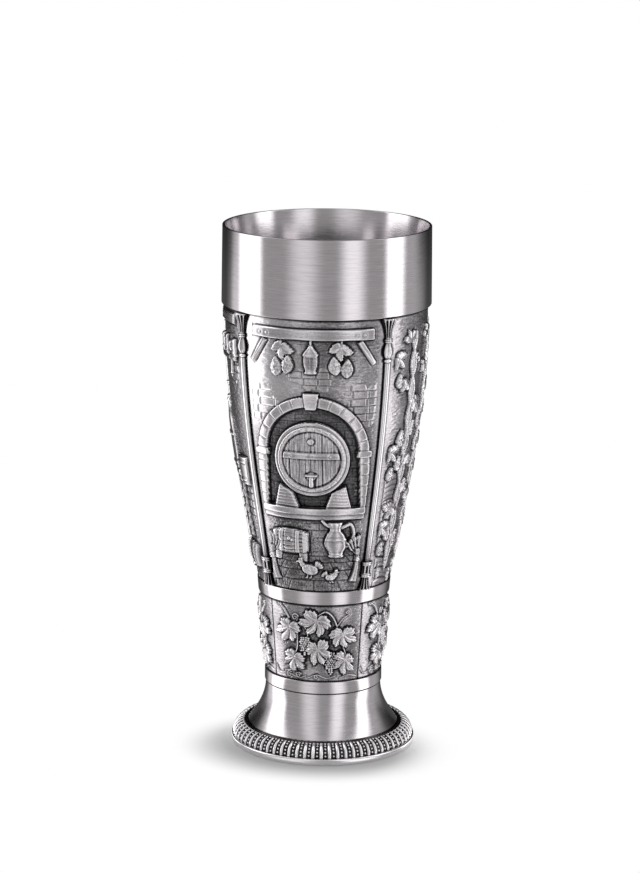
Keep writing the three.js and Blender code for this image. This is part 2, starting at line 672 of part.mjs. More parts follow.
// The foot ring: a ribbed quarter-round over a plain rim, bored with a seat for the lip of the foot.
// Below the crest, every other column of points on the quarter-round is sunk, which leaves the ribs.
function footRing() {
  const inner = LIP_RADIUS + CLEARANCE;
  const bore = inner - SEAT_WIDTH;
  const seat = LIP_Z - FLARE_EDGE - CLEARANCE;
  const crest = inner + RING_CREST;
  const across = FOOT_RADIUS - PLAIN_RIM_STEP - crest;
  const up = FOOT_RING_HEIGHT - PLAIN_RIM_HEIGHT;
  const round = steps(0, QUARTER, ROUND_SPANS).map((a) => [Math.cos(a), Math.sin(a)]);
  const rim = [[0, 0], [FOOT_RADIUS, 0], [FOOT_RADIUS, PLAIN_RIM_HEIGHT]];
  const profile = [
    ...rim,
    ...round.map(([out, rise]) => [crest + across * out, PLAIN_RIM_HEIGHT + up * rise]),
    [0, FOOT_RING_HEIGHT],
  ].map(([r, z]) => new THREE.Vector2(r, z));
  const disc = new THREE.LatheGeometry(profile, 2 * RIB_COUNT);
  const place = disc.attributes.position;
  for (let column = 1; column < 2 * RIB_COUNT; column += 2) {
    round.slice(0, -1).forEach(([out, rise], k) => {
      const i = column * profile.length + rim.length + k;
      const valley = 1 - (RIB_RELIEF * out) / Math.hypot(place.getX(i), place.getZ(i));
      place.setXYZ(i, place.getX(i) * valley, place.getY(i) - RIB_RELIEF * rise, place.getZ(i) * valley);
    });
  }
  const [under, over] = [-CLEARANCE, FOOT_RING_HEIGHT + CLEARANCE];
  const hole = turn([[0, under], [bore, under], [bore, seat], [inner, seat], [inner, over], [0, over]]);
  return geometryOf(solidOf(disc.rotateX(QUARTER)).subtract(solidOf(hole)));
}

// A half-round column that follows the wall, its half widths given at heights from its foot up.
function colonnette(angle) {
  const [low, high] = [SCENE_Z + CLEARANCE, COLLAR_Z - CLEARANCE];
  const capital = high - CAPITAL_HEIGHT;
  const bulb = capital - RING_HEIGHT - BULB_HEIGHT;
  const shaftTop = bulb - RING_HEIGHT;
  const skirt = low + SKIRT_HEIGHT;
  const plinth = skirt + RING_HEIGHT;
  const shaftFoot = plinth + PLINTH_HEIGHT + RING_HEIGHT;
  const stations = [
    [low, SKIRT_WIDTH],
    [low + SKIRT_HEIGHT / 4, SKIRT_WIDTH],
    [skirt, SKIRT_NECK],
    [skirt, PLINTH_RING_WIDTH],
    [plinth, PLINTH_RING_WIDTH],
    [plinth, PLINTH_WIDTH],
    [plinth + PLINTH_HEIGHT, PLINTH_WIDTH],
    [plinth + PLINTH_HEIGHT, PLINTH_RING_WIDTH],
    [shaftFoot, PLINTH_RING_WIDTH],
    ...steps(0, 1, WALL_SPANS).map((t) => [
      shaftFoot + (shaftTop - shaftFoot) * t,
      SHAFT_FOOT_WIDTH + (SHAFT_TOP_WIDTH - SHAFT_FOOT_WIDTH) * t,
    ]),
    [shaftTop, RING_WIDTH],
    [bulb, RING_WIDTH],
    [bulb + BULB_HEIGHT * 0.4, BULB_WIDTH],
    [bulb + BULB_HEIGHT, BULB_NECK],
    [bulb + BULB_HEIGHT, RING_WIDTH],
    [capital, RING_WIDTH],
    [capital + CAPITAL_HEIGHT * 0.55, CAPITAL_NECK],
    [capital + CAPITAL_HEIGHT * 0.9, CAPITAL_WIDTH],
    [high, CAPITAL_WIDTH],
  ];
  return loftOnSeam(angle, stations);
}

// Joins half-round sections up a seam. Every section has a flat back just clear of the wall.
function loftOnSeam(angle, stations) {
  const arc = steps(-QUARTER, QUARTER, COLUMN_SPANS);
  const ring = arc.length;
  const corners = stations.flatMap(([z, half]) =>
    arc.flatMap((a) => {
      const out = wallRadius(z) + CLEARANCE + half * COLUMN_DEPTH * Math.cos(a);
      const side = half * Math.sin(a);
      const [sine, cosine] = [Math.sin(angle), Math.cos(angle)];
      return [out * sine + side * cosine, side * sine - out * cosine, z];
    }),
  );
  const faces = [];
  for (let k = 0; k + 1 < stations.length; k++) {
    for (let i = 0; i < ring; i++) {
      const [a, b] = [k * ring + i, k * ring + ((i + 1) % ring)];
      faces.push(a, b, b + ring, a, b + ring, a + ring);
    }
  }
  const top = (stations.length - 1) * ring;
  for (let i = 1; i + 1 < ring; i++) faces.push(0, i + 1, i, top, top + i, top + i + 1);
  const geometry = new THREE.BufferGeometry();
  geometry.setAttribute("position", new THREE.Float32BufferAttribute(corners, 3));
  geometry.setIndex(faces);
  geometry.computeVertexNormals();
  return geometry;
}

// Finishes.
const turnedPewter = () => new THREE.MeshStandardMaterial({ color: 0xb9b7b6, roughness: 0.3, metalness: 1 });
const castPewter = () => new THREE.MeshStandardMaterial({ color: 0x8d8b8a, roughness: 0.45, metalness: 1 });

// Assembly.
const beaker = new THREE.Group();
function fit(name, geometry, material) {
  const mesh = new THREE.Mesh(geometry, material);
  mesh.name = name;
  beaker.add(mesh);
}

fit("lip_collar", lipCollar(), turnedPewter());
fit("inner_cup", geometryOf(solidOf(innerCup())), turnedPewter());
const SCENES = [["front", cellarScene], ["right", hopScene], ["back", millScene], ["left", brewScene]];
SCENES.forEach(([side, scene], i) => {
  fit(`scene_panel_${side}`, panel(i * QUARTER, SCENE_Z, COLLAR_Z, WALL_SPANS, scene), castPewter());
  fit(`vine_panel_${side}`, panel(i * QUARTER, VINE_Z, WAIST_Z, 1, vineScene), castPewter());
});
["front_right", "back_right", "back_left", "front_left"].forEach((corner, i) => {
  fit(`colonnette_${corner}`, colonnette((i + 0.5) * QUARTER), castPewter());
});
fit("waist_band", waistBand(), turnedPewter());
fit("stem_band", stemBand(), turnedPewter());
fit("foot_flare", footFlare(), turnedPewter());
fit("foot_ring", footRing(), castPewter());

export default beaker;
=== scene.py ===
"""Builds a footed pewter beer beaker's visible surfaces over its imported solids, with finishes and
studio."""

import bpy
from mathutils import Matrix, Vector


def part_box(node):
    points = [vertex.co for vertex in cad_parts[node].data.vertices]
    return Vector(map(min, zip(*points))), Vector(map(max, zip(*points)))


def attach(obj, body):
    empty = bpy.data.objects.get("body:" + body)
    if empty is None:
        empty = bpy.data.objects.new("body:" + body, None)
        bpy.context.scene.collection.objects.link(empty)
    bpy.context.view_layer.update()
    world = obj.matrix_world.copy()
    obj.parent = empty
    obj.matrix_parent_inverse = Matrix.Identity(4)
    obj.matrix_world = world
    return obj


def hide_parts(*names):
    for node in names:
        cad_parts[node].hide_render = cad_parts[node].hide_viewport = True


bl_info = {
    "name": "Footed Pewter Beaker",
    "version": (1, 0, 0),
    "blender": (4, 5, 0),
    "location": "View3D > Sidebar > Beaker",
    "description": "Turned, cast and beaded pewter surfaces of a footed beer beaker, with its studio",
    "category": "Object",
}

import bpy
import numpy as np
from mathutils import Matrix, Vector

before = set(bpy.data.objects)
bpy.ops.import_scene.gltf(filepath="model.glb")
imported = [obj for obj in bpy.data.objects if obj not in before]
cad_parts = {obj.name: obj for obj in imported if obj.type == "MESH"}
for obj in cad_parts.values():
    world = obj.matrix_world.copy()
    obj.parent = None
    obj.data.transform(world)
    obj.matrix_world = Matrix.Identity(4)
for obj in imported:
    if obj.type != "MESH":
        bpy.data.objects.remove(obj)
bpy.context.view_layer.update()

MM = 0.001  # metres to a millimetre; shapes are worked out in millimetres
TAU = 2 * np.pi
QUARTER = np.pi / 2
SIDES = ("front", "right", "back", "left")
CORNERS = ("front_right", "back_right", "back_left", "front_left")


def height_of(node, top):
    """Lower or upper height of a solid, in millimetres."""
    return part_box(node)[top].z / MM


def girth(node):
    """Greatest radius of a turned solid, in millimetres."""
    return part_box(node)[1].x / MM


# Heights and radii that the solids give.
LIP_Z = height_of("foot_ring", 1)
STEM_Z = height_of("stem_band", 0)
VINE_Z = height_of("stem_band", 1)
WAIST_Z = height_of("waist_band", 0)
SCENE_Z = height_of("waist_band", 1)
COLLAR_Z = height_of("lip_collar", 0)
RIM_Z = height_of("lip_collar", 1)
CUP_FLOOR_Z = height_of("inner_cup", 0)
CUP_TOP_Z = height_of("inner_cup", 1)
SKIRT_RADIUS = girth("lip_collar")
BAND_RADIUS = girth("waist_band")
STEM_BAND_RADIUS = girth("stem_band")
LIP_RADIUS = girth("foot_flare")
FOOT_RADIUS = girth("foot_ring")

# Walls and joints, as the solids have them.
BAND_PROUD = 0.55
COLLAR_OVERHANG = 1.4
COLLAR_SPREAD = 0.3
WALL_SWELL = 1.1
PANEL_WALL = 1.0
TONGUE_WALL = 0.5
TUCK = 1.5
CLEARANCE = 0.3
CUP_WALL = 1.0
CUP_FLOOR = 1.6
CUP_CORNER = 3.0
LIP_WALL = 0.9
NECK_SETBACK = 0.45
NECK_GAP = 0.5
FLARE_POWER = 2.1
FLARE_WALL = 1.2
FLARE_EDGE = 1.0
LEDGE_THICKNESS = 1.5
LEDGE_WIDTH = 3.2
SPIGOT_WALL = 1.0
SPIGOT_HEIGHT = 1.5
SEAT_WIDTH = 1.8
RING_CREST = 0.7
PLAIN_RIM_HEIGHT = 2.6
PLAIN_RIM_STEP = 0.5
COLUMN_DEPTH = 0.85

# Grids and looks of the visible surfaces.
BOLD_RELIEF = 1.7  # the height that the motifs below are drawn for
SCENE_GRID, SCENE_BORDER = (410, 216), 3.6  # rows and columns, and the plain edge beside a seam
VINE_GRID, VINE_BORDER = (200, 230), 0.2
BAND_COLUMNS, COLLAR_COLUMNS, FLARE_COLUMNS, CUP_COLUMNS = 280, 320, 320, 200
TURNED_CREASE = np.radians(40)
GROUND_WEAR = 0.46  # wear runs from 0, blackened, through the bare ground to 1, rubbed bright
LINER_SATIN = 0.36
UNDER_COLLAR = 0.05  # the step by which all relief stays inside the collar
BRIGHT_LIP = 11.0  # depth under the rim where the collar's inside starts to turn satin

WAIST_GROUND = BAND_RADIUS - BAND_PROUD
STEM_GROUND = STEM_BAND_RADIUS - BAND_PROUD
COLLAR_GROUND = SKIRT_RADIUS - COLLAR_OVERHANG
NECK_RADIUS = STEM_BAND_RADIUS - NECK_SETBACK


def wall_radius(z):
    """Relief ground: a cone up to the waist, then a quarter sine that swells towards the collar."""
    z = np.asarray(z, float)
    cone = STEM_GROUND + (WAIST_GROUND - STEM_GROUND) * (z - VINE_Z) / (SCENE_Z - VINE_Z)
    share = np.clip((z - SCENE_Z) / (COLLAR_Z - SCENE_Z), 0, 1)
    swell = WAIST_GROUND + (COLLAR_GROUND - WAIST_GROUND) * np.sin(QUARTER * share ** WALL_SWELL)
    return np.where(z <= SCENE_Z, cone, swell)


def back_radius(z):
    """Back of the cast panels."""
    return wall_radius(z) - PANEL_WALL


def tongue_radius(z):
    """Outside of a panel's thinned edge."""
    return float(back_radius(z)) + TONGUE_WALL


def groove_radius(z):
    """Inside of the groove that takes a panel's thinned edge."""
    return tongue_radius(z) + CLEARANCE


def cup_radius(z):
    """Outside of the liner, just clear of the panels."""
    return back_radius(z) - CLEARANCE


def flare_radius(z):
    """Trumpet of the foot: a power curve from its lip up to its neck."""
    share = np.clip((STEM_Z - z) / (STEM_Z - LIP_Z), 0, 1)
    return NECK_RADIUS + (LIP_RADIUS - NECK_RADIUS) * share ** FLARE_POWER


# Sizes, finishes and studio that a user may change.
class BeakerSizes(bpy.types.PropertyGroup):
    """Sizes of the finer shapes"""

    relief: bpy.props.FloatProperty(
        name="Relief", description="Height of the boldest cast motif", default=BOLD_RELIEF * MM,
        unit="LENGTH", precision=5)
    ribs: bpy.props.IntProperty(name="Ribs", description="Ribs round the foot ring", default=68, min=8)
    beads: bpy.props.IntProperty(name="Beads", description="Beads between two ribs", default=5, min=1)
    bead_radius: bpy.props.FloatProperty(
        name="Bead radius", description="Radius of a bead on the foot ring", default=0.45 * MM,
        unit="LENGTH", precision=5)
    edge: bpy.props.FloatProperty(
        name="Edge", description="Rounding of turned edges", default=0.3 * MM, unit="LENGTH", precision=5)
    column_facets: bpy.props.IntProperty(
        name="Column facets", description="Facets across a colonnette's half round", default=72, min=12)


class BeakerFinish(bpy.types.PropertyGroup):
    """Colours and roughness of the pewter"""

    turned: bpy.props.FloatVectorProperty(
        name="Turned pewter", description="Colour of the spun and turned surfaces", subtype="COLOR",
        default=(0.63, 0.605, 0.622))
    rubbed: bpy.props.FloatVectorProperty(
        name="Rubbed pewter", description="Colour of cast high points that wear bright", subtype="COLOR",
        default=(0.86, 0.845, 0.86))
    ground: bpy.props.FloatVectorProperty(
        name="Cast ground", description="Colour of the flat ground between motifs", subtype="COLOR",
        default=(0.45, 0.434, 0.449))
    oxide: bpy.props.FloatVectorProperty(
        name="Oxide", description="Colour of the blackened hollows", subtype="COLOR",
        default=(0.012, 0.012, 0.013))
    turned_roughness: bpy.props.FloatProperty(
        name="Turned roughness", description="Roughness of turned surfaces", default=0.16, min=0, max=1,
        subtype="FACTOR")
    brush: bpy.props.FloatProperty(
        name="Brush", description="How far turning lines draw out reflections", default=0.9, min=0, max=1,
        subtype="FACTOR")


class BeakerStudio(bpy.types.PropertyGroup):
    """Floor, lens and lamps"""

    backdrop: bpy.props.FloatVectorProperty(
        name="Backdrop", description="Colour of the floor", subtype="COLOR", default=(0.93, 0.93, 0.93))
    lens: bpy.props.FloatProperty(name="Lens", description="Focal length", default=123.51, unit="CAMERA")
    key: bpy.props.FloatProperty(
        name="Key", description="Power of the key lamp", default=8.2, unit="POWER")
    fill: bpy.props.FloatProperty(
        name="Fill", description="Power of the fill lamp", default=0.3, unit="POWER")


# Meshes from grids.
def fillet(points, radius, spans=4):
    """Rounds a closed outline: each corner becomes the quadratic curve between two points on its sides."""
    points = np.asarray(points, float)
    before, after = np.roll(points, 1, axis=0) - points, np.roll(points, -1, axis=0) - points
    size = np.linalg.norm(before, axis=1), np.linalg.norm(after, axis=1)
    cut = np.minimum(radius, 0.45 * np.minimum(*size))[:, None]
    start, end = points + before / size[0][:, None] * cut, points + after / size[1][:, None] * cut
    t = np.linspace(0, 1, spans + 1)[None, :, None]
    curve = (1 - t) ** 2 * start[:, None] + 2 * t * (1 - t) * points[:, None] + t ** 2 * end[:, None]
    return curve.reshape(-1, 2)


def grid_faces(rows, columns, wrap_rows=False, wrap_columns=False):
    """Quads between neighbouring points of a grid; a wrapped side joins its end to its start."""
    index = np.arange(rows * columns).reshape(rows, columns)
    if wrap_rows:
        index = np.vstack([index, index[:1]])
    if wrap_columns:
        index = np.hstack([index, index[:, :1]])
    corners = index[:-1, :-1], index[:-1, 1:], index[1:, 1:], index[1:, :-1]
    return np.stack([c.ravel() for c in corners], 1)


def spread(values, columns):
    """A line of values repeated over the columns of a grid."""
    return np.repeat(np.asarray(values)[:, None], columns, 1)


def round_axis(r, angle, z):
    """Places by radius, angle from the front and height: x is r times sine, y less r times cosine."""
    return np.stack([r * np.sin(angle), -r * np.cos(angle), z], -1)


def end_caps(rows, columns):
    """Faces that close the first and the last ring of a wrapped grid."""
    return [list(range(columns))[::-1], list(range((rows - 1) * columns, rows * columns))]


def point_values(mesh, name, values):
    """Holds one number on each point of a mesh."""
    attribute = mesh.attributes.new(name, "FLOAT", "POINT")
    attribute.data.foreach_set("value", np.ravel(values).astype(np.float32))


def add_piece(name, points, faces, material, nodes=(), sharp=None, wear=None, caps=(), flat=None):
    """A mesh of points in millimetres at the origin that rides on the body and stands for solids."""
    mesh = bpy.data.meshes.new(name)
    faces = faces.tolist() if isinstance(faces, np.ndarray) else list(faces)
    mesh.from_pydata(np.asarray(points, float).reshape(-1, 3) * MM, [], [*faces, *caps])
    mesh.shade_smooth()
    if sharp is not None:
        mesh.set_sharp_from_angle(angle=sharp)
    if flat is not None:
        mesh.polygons.foreach_set("use_smooth", ~flat)
    if wear is not None:
        point_values(mesh, "wear", wear)
    mesh.materials.append(material)
    mesh.update()
    piece = bpy.data.objects.new(name, mesh)
    bpy.context.scene.collection.objects.link(piece)
    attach(piece, "root")
    if nodes:
        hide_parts(*nodes)


def turned(profile, columns):
    """Points and faces of a closed outline of radius and height turned round the axis."""
    angle = np.arange(columns) / columns * TAU
    points = round_axis(profile[:, :1], angle, spread(profile[:, 1], columns))
    return points, grid_faces(len(profile), columns, True, True)


def turned_piece(context, name, profile, node, columns, material):
    """A ring of turned pewter with rounded edges."""
    points, faces = turned(fillet(profile, context.scene.beaker_sizes.edge / MM), columns)
    add_piece(name, points, faces, material, (node,), TURNED_CREASE)


# Finishes.
def node_adder(tree):
    """Empties a tree and gives a short way to add nodes to it, set up and joined to their inputs."""
    tree.nodes.clear()

    def add(kind, inputs=(), **settings):
        node = tree.nodes.new(kind)
        for key, value in settings.items():
            setattr(node, key, value)
        for key, value in dict(inputs).items():
            if isinstance(value, bpy.types.NodeSocket):
                tree.links.new(value, node.inputs[key])
            else:
                node.inputs[key].default_value = value
        return node

    return add


def node_tree(name):
    """A new material with a plain shader: the material, its tree, that shader, the output and the adder."""
    material = bpy.data.materials.new(name)
    material.use_nodes = True
    tree = material.node_tree
    add = node_adder(tree)
    output = add("ShaderNodeOutputMaterial")
    shader = add("ShaderNodeBsdfPrincipled")
    tree.links.new(shader.outputs[0], output.inputs[0])
    return material, tree, shader, output, add


def metal(name):
    """A new metal: the material, its tree, its shader and the adder."""
    material, tree, shader, _, add = node_tree(name)
    shader.inputs["Metallic"].default_value = 1.0
    return material, tree, shader, add


def reckon(add, operation, *values):
    """The outcome of one sum over values or sockets."""
    return add("ShaderNodeMath", dict(enumerate(values)), operation=operation).outputs[0]


def axis_distance(add, place):
    """How far a place lies from the upright axis."""
    flat = add("ShaderNodeVectorMath", {0: place, 1: (1.0, 1.0, 0.0)}, operation="MULTIPLY").outputs[0]
    return add("ShaderNodeVectorMath", {0: flat}, operation="LENGTH").outputs["Value"]


def brush_lines(add, along, across):
    """Noise drawn out round the axis: x and y are scaled a little, height less radius a great deal."""
    place = add("ShaderNodeTexCoord").outputs["Object"]
    x, y, z = add("ShaderNodeSeparateXYZ", {0: place}).outputs
    rise = reckon(add, "SUBTRACT", z, axis_distance(add, place))
    joined = add("ShaderNodeCombineXYZ", {0: x, 1: y, 2: rise}).outputs[0]
    scale = {0: joined, 1: (along, along, across)}
    drawn = add("ShaderNodeVectorMath", scale, operation="MULTIPLY").outputs[0]
    noise = {"Vector": drawn, "Scale": 1.0, "Detail": 4.0, "Roughness": 0.65}
    return add("ShaderNodeTexNoise", noise).outputs[0]


def ramp(add, value, stops):
    """Colours at stops along a value, mixed between them."""
    node = add("ShaderNodeValToRGB", {0: value})
    elements = node.color_ramp.elements
    for k, (place, colour) in enumerate(stops):
        stop = elements[k] if k < 2 else elements.new(place)
        stop.position, stop.color = place, (*colour, 1)
    return node.outputs[0]


def share_map(add, value, low, high):
    """A value from 0 to 1 carried to the range from low to high."""
    return add("ShaderNodeMapRange", {"Value": value, "To Min": low, "To Max": high}).outputs[0]


def turned_pewter(context, name="turned_pewter_brushed", satin=0.0, deep=0.0):
    """Spun pewter: fine turning lines in colour, roughness and bump, reflections drawn out across them.
    Satin adds to its roughness, and deep adds to it inside the collar, from some way under the lip down
    to the liner."""
    found = bpy.data.materials.get(name)
    if found:
        return found
    finish = context.scene.beaker_finish
    material, tree, shader, add = metal(name)
    lines = brush_lines(add, 240.0, 6500.0)
    broad = brush_lines(add, 110.0, 2600.0)
    share = reckon(add, "MULTIPLY", reckon(add, "ADD", lines, broad), 0.5)
    colour = np.array(finish.turned)
    tint = ramp(add, share, [(0.3, colour * 0.8), (0.5, colour), (0.7, np.minimum(colour * 1.15, 1))])
    tree.links.new(tint, shader.inputs["Base Color"])
    rough = finish.turned_roughness + satin
    rough = share_map(add, share, rough - 0.06, rough + 0.06)
    if deep:
        place = add("ShaderNodeTexCoord").outputs["Object"]
        height = add("ShaderNodeSeparateXYZ", {0: place}).outputs["Z"]
        top, bottom = (RIM_Z - BRIGHT_LIP) * MM, CUP_TOP_Z * MM
        fade = {"Value": height, "From Min": top, "From Max": bottom, "To Max": deep}
        below = add("ShaderNodeMapRange", fade, interpolation_type="SMOOTHSTEP").outputs[0]
        middle = (SKIRT_RADIUS - COLLAR_SPREAD - LIP_WALL / 2) * MM
        within = reckon(add, "LESS_THAN", axis_distance(add, place), middle)
        rough = reckon(add, "MULTIPLY_ADD", below, within, rough)
    tree.links.new(rough, shader.inputs["Roughness"])
    bump = add("ShaderNodeBump", {"Height": lines, "Strength": 0.16, "Distance": 0.06 * MM})
    tree.links.new(bump.outputs[0], shader.inputs["Normal"])
    tangent = add("ShaderNodeTangent", direction_type="RADIAL", axis="Z")
    tree.links.new(tangent.outputs[0], shader.inputs["Tangent"])
    shader.inputs["Anisotropic"].default_value = finish.brush
    shader.inputs["Anisotropic Rotation"].default_value = 0.25
    return material


def cast_pewter(context):
    """Antiqued cast pewter: wear runs from blackened hollows through the ground to rubbed tops; on the
    panels and colonnettes it also carries painted shade and a painted highlight.
    """
    found = bpy.data.materials.get("cast_pewter_antiqued")
    if found:
        return found
    finish = context.scene.beaker_finish
    material, tree, shader, add = metal("cast_pewter_antiqued")
    worn = add("ShaderNodeAttribute", attribute_name="wear").outputs["Fac"]
    lines = brush_lines(add, 120.0, 3200.0)
    place = add("ShaderNodeTexCoord").outputs["Object"]
    grain = add("ShaderNodeTexNoise", {"Vector": place, "Scale": 1900.0, "Detail": 2.0}).outputs[0]
    mottle = add("ShaderNodeTexNoise", {"Vector": place, "Scale": 90.0, "Detail": 3.0}).outputs[0]
    speck = share_map(add, lines, -0.14, 0.14)
    for noise, reach in ((mottle, 0.1), (grain, 0.2)):
        speck = reckon(add, "ADD", speck, share_map(add, noise, -reach, reach))
    worn = add("ShaderNodeMath", {0: worn, 1: speck}, operation="ADD", use_clamp=True).outputs[0]
    oxide, ground, rubbed = (np.array(c) for c in (finish.oxide, finish.ground, finish.rubbed))
    between = (0.22, ground * 0.22), (GROUND_WEAR, ground), (0.66, (ground + rubbed) / 2)
    tint = ramp(add, worn, [(0.0, oxide), (1.0, rubbed), *between])
    tree.links.new(tint, shader.inputs["Base Color"])
    tree.links.new(share_map(add, worn, 0.34, 0.16), shader.inputs["Roughness"])
    both = reckon(add, "ADD", lines, grain)
    bump = add("ShaderNodeBump", {"Height": both, "Strength": 0.2, "Distance": 0.08 * MM})
    tree.links.new(bump.outputs[0], shader.inputs["Normal"])
    return material


# Relief, in millimetres: softness of a motif's edge, width and depth of the groove round it.
EDGE = 0.16
HALO = 0.55
GROOVE = 0.34
EVERYWHERE = slice(None), slice(None)


def smooth(low, high, value):
    """Rises from 0 at low to 1 at high in a smooth step."""
    share = np.clip((value - low) / (high - low), 0, 1)
    return share * share * (3 - 2 * share)


def bulge(offset, half):
    """The rise of a half round: the root of one less the squared share of the half width."""
    return np.sqrt(np.clip(1 - (offset / half) ** 2, 0, 1))


def ridge(offset, width):
    """A rounded line: the bell curve of the offset over the width."""
    return np.exp(-((offset / width) ** 2))


def segment(u, v, start, end):
    """Distance to a straight stroke, and the share of the way along it."""
    dx, dy = end[0] - start[0], end[1] - start[1]
    share = np.clip(((u - start[0]) * dx + (v - start[1]) * dy) / (dx * dx + dy * dy), 0, 1)
    return np.hypot(u - start[0] - share * dx, v - start[1] - share * dy), share


def outline(u, v, corners):
    """Signed distance to a closed outline of straight sides: the least one to a side, negative inside."""
    points = np.asarray(corners, float)
    best = np.full(u.shape, 1e9)
    inside = np.zeros(u.shape, bool)
    for a, b in zip(points, np.roll(points, -1, axis=0)):
        best = np.minimum(best, segment(u, v, a, b)[0])
        if a[1] != b[1]:
            crosses = (a[1] > v) != (b[1] > v)
            inside ^= crosses & (u < a[0] + (v - a[1]) * (b[0] - a[0]) / (b[1] - a[1]))
    return np.where(inside, -best, best)


def through(points, count):
    """A smooth line through points: each span is the cubic that its four nearest points give."""
    points = np.asarray(points, float)
    padded = np.vstack([2 * points[0] - points[1], points, 2 * points[-1] - points[-2]])
    place = np.linspace(0, len(points) - 1 - 1e-9, count)
    span = place.astype(int)
    t = (place - span)[:, None]
    a, b, c, d = (padded[span + k] for k in range(4))
    square, cube = 2 * a - 5 * b + 4 * c - d, 3 * b - a - 3 * c + d
    return 0.5 * (2 * b + (c - a) * t + square * t ** 2 + cube * t ** 3)


def blur(values, down, across):
    """Each value mixed with its neighbours by bell-shaped weights, down the rows and then along them."""
    for axis, sigma in ((0, down), (1, across)):
        if sigma:
            reach = int(np.ceil(2.5 * sigma))
            weights = np.exp(-0.5 * (np.arange(-reach, reach + 1) / sigma) ** 2)
            padding = [(reach, reach) if k == axis else (0, 0) for k in (0, 1)]
            padded = np.pad(values, padding, mode="edge")
            count = values.shape[axis]
            shares = enumerate(weights / weights.sum())
            values = sum(share * np.take(padded, range(k, k + count), axis) for k, share in shares)
    return values


def off_line(value):
    """How far a count lies from the nearest whole one."""
    return value - np.round(value)


def bond(u, v, course, length, widths, shift=0.0):
    """Joints of a bonded wall: lines between courses, and uprights half a stone on from row to row."""
    row = np.floor(v / course)
    stone = u / length + 0.5 * (row % 2) + shift
    level, upright = off_line(v / course) * course, off_line(stone) * length
    return np.maximum(ridge(level, widths[0]), ridge(upright, widths[1]))


class Relief:
    """Heights of one cast panel over its ground, in millimetres.

    The grid runs across the wall from the panel's middle and up from its lower edge. A motif is laid over
    what is there where its signed distance is below nothing, with a groove worked round it."""

    def __init__(self, radii, up, tall, columns):
        self.up, self.tall = up, tall
        self.half = radii * np.pi / 4
        self.share = np.linspace(-1, 1, columns)
        self.x = self.half[:, None] * self.share
        self.y = np.repeat(up[:, None], columns, 1)
        self.height = np.zeros_like(self.x)
        self.bare = np.ones_like(self.x)
        # Tone: lighter or darker wear that the motifs lay on, and the painted shade and painted highlight
        # that the panels add.
        self.tone = np.zeros_like(self.x)
        self.marks, self.dotted = 2.4, 0.28  # length of tool marks, and share of the height that is dotted

    def hatch(self, seed):
        """Tool marks on the bare ground: seeded noise blurred along the wall by the marks' length, and
        into dots below the dotted share of the height."""
        noise = np.random.default_rng(seed).normal(size=self.x.shape)
        lines, dots = blur(noise, 0.55, self.marks), blur(noise, 0.7, 0.7)
        low = smooth(self.dotted + 0.08, self.dotted - 0.08, self.y / self.tall)
        self.height += self.bare * (0.17 * lines * (1 - low) + 0.2 * dots * low)

    def spot(self, across, up):
        """Millimetre place of a share of the half width and a share of the height."""
        y = up * self.tall
        return across * np.interp(y, self.up, self.half), y

    def wear(self):
        """Rubbed or oxidised: each height over the heights blurred about it, at a short and at a long
        reach, with the ground dark beside a motif. The tone added last also holds painted shade along the
        panel's seams and edges, and a painted highlight on the front panel's plaster."""
        pitch = self.up[1] - self.up[0]
        wide = 2 * self.half.mean() / len(self.share)

        def about(values, reach):
            return blur(values, reach / pitch, reach / wide)

        close, broad = (self.height - about(self.height, reach) for reach in (0.5, 2.4))
        cover = smooth(0.1, 0.5, self.height)
        beside = sum(amount * about(cover, reach) for reach, amount in ((1.4, 0.2), (4.0, 0.22)))
        shade = 0.12 * np.minimum(self.height, 0) - beside * (1 - cover)
        return np.clip(GROUND_WEAR + 0.72 * close + 0.13 * broad + shade + self.tone, 0, 1)

    def near(self, x, y, reach, turn=0.0):
        """The grid within reach of a place, with coordinates about it turned anticlockwise."""
        rows = slice(*np.searchsorted(self.up, (y - reach, y + reach)))
        half = self.half[rows] if rows.stop > rows.start else self.half
        low = min((x - reach) / half.min(), (x - reach) / half.max())
        high = max((x + reach) / half.min(), (x + reach) / half.max())
        window = rows, slice(*np.searchsorted(self.share, (low, high)))
        u, v = self.x[window] - x, self.y[window] - y
        c, s = np.cos(turn), np.sin(turn)
        return window, c * u + s * v, c * v - s * u

    def lay(self, window, distance, top, groove=GROOVE):
        """Lays a top where the distance is negative and sinks a groove round it."""
        height = self.height[window]
        inside = smooth(EDGE, -EDGE, distance)
        halo = groove * np.exp(-((np.clip(distance, 0, None) / HALO) ** 2)) * (1 - inside)
        self.height[window] = height * (1 - inside) + top * inside - halo
        self.bury(window, smooth(0.2, 1.6, distance))
        self.tone[window] *= 1 - inside

    def bury(self, window, bare):
        """Leaves no more of the bare ground than a share."""
        self.bare[window] = np.minimum(self.bare[window], bare)

    def score(self, window, offset, width, depth):
        """Cuts a rounded line of a width and depth."""
        self.height[window] = self.height[window] - depth * ridge(offset, width)

    def stroke(self, points, start, end, top, groove=GROOVE, count=None):
        """A rounded strand through points, its half width running from start to end."""
        line = through(points, count or 6 * len(points))
        middle, reach = (line.min(0) + line.max(0)) / 2, np.ptp(line, axis=0).max() / 2 + 3
        window, u, v = self.near(middle[0], middle[1], reach)
        best, width = np.full(u.shape, 1e9), np.full(u.shape, start)
        for k, (a, b) in enumerate(zip(line[:-1] - middle, line[1:] - middle)):
            away, share = segment(u, v, a, b)
            half = start + (end - start) * (k + share) / (len(line) - 1)
            closer = away - half < best
            best = np.where(closer, away - half, best)
            width = np.where(closer, half, width)
        self.lay(window, best, top * (0.35 + 0.65 * bulge(best + width, width)), groove)

    def blob(self, x, y, wide, tall, turn, top, flat=0.25, groove=GROOVE):
        """A rounded oval."""
        window, u, v = self.near(x, y, max(wide, tall) + 2, turn)
        r = np.hypot(u / wide, v / tall)
        self.lay(window, (r - 1) * min(wide, tall), top * (flat + (1 - flat) * bulge(r, 1)), groove)


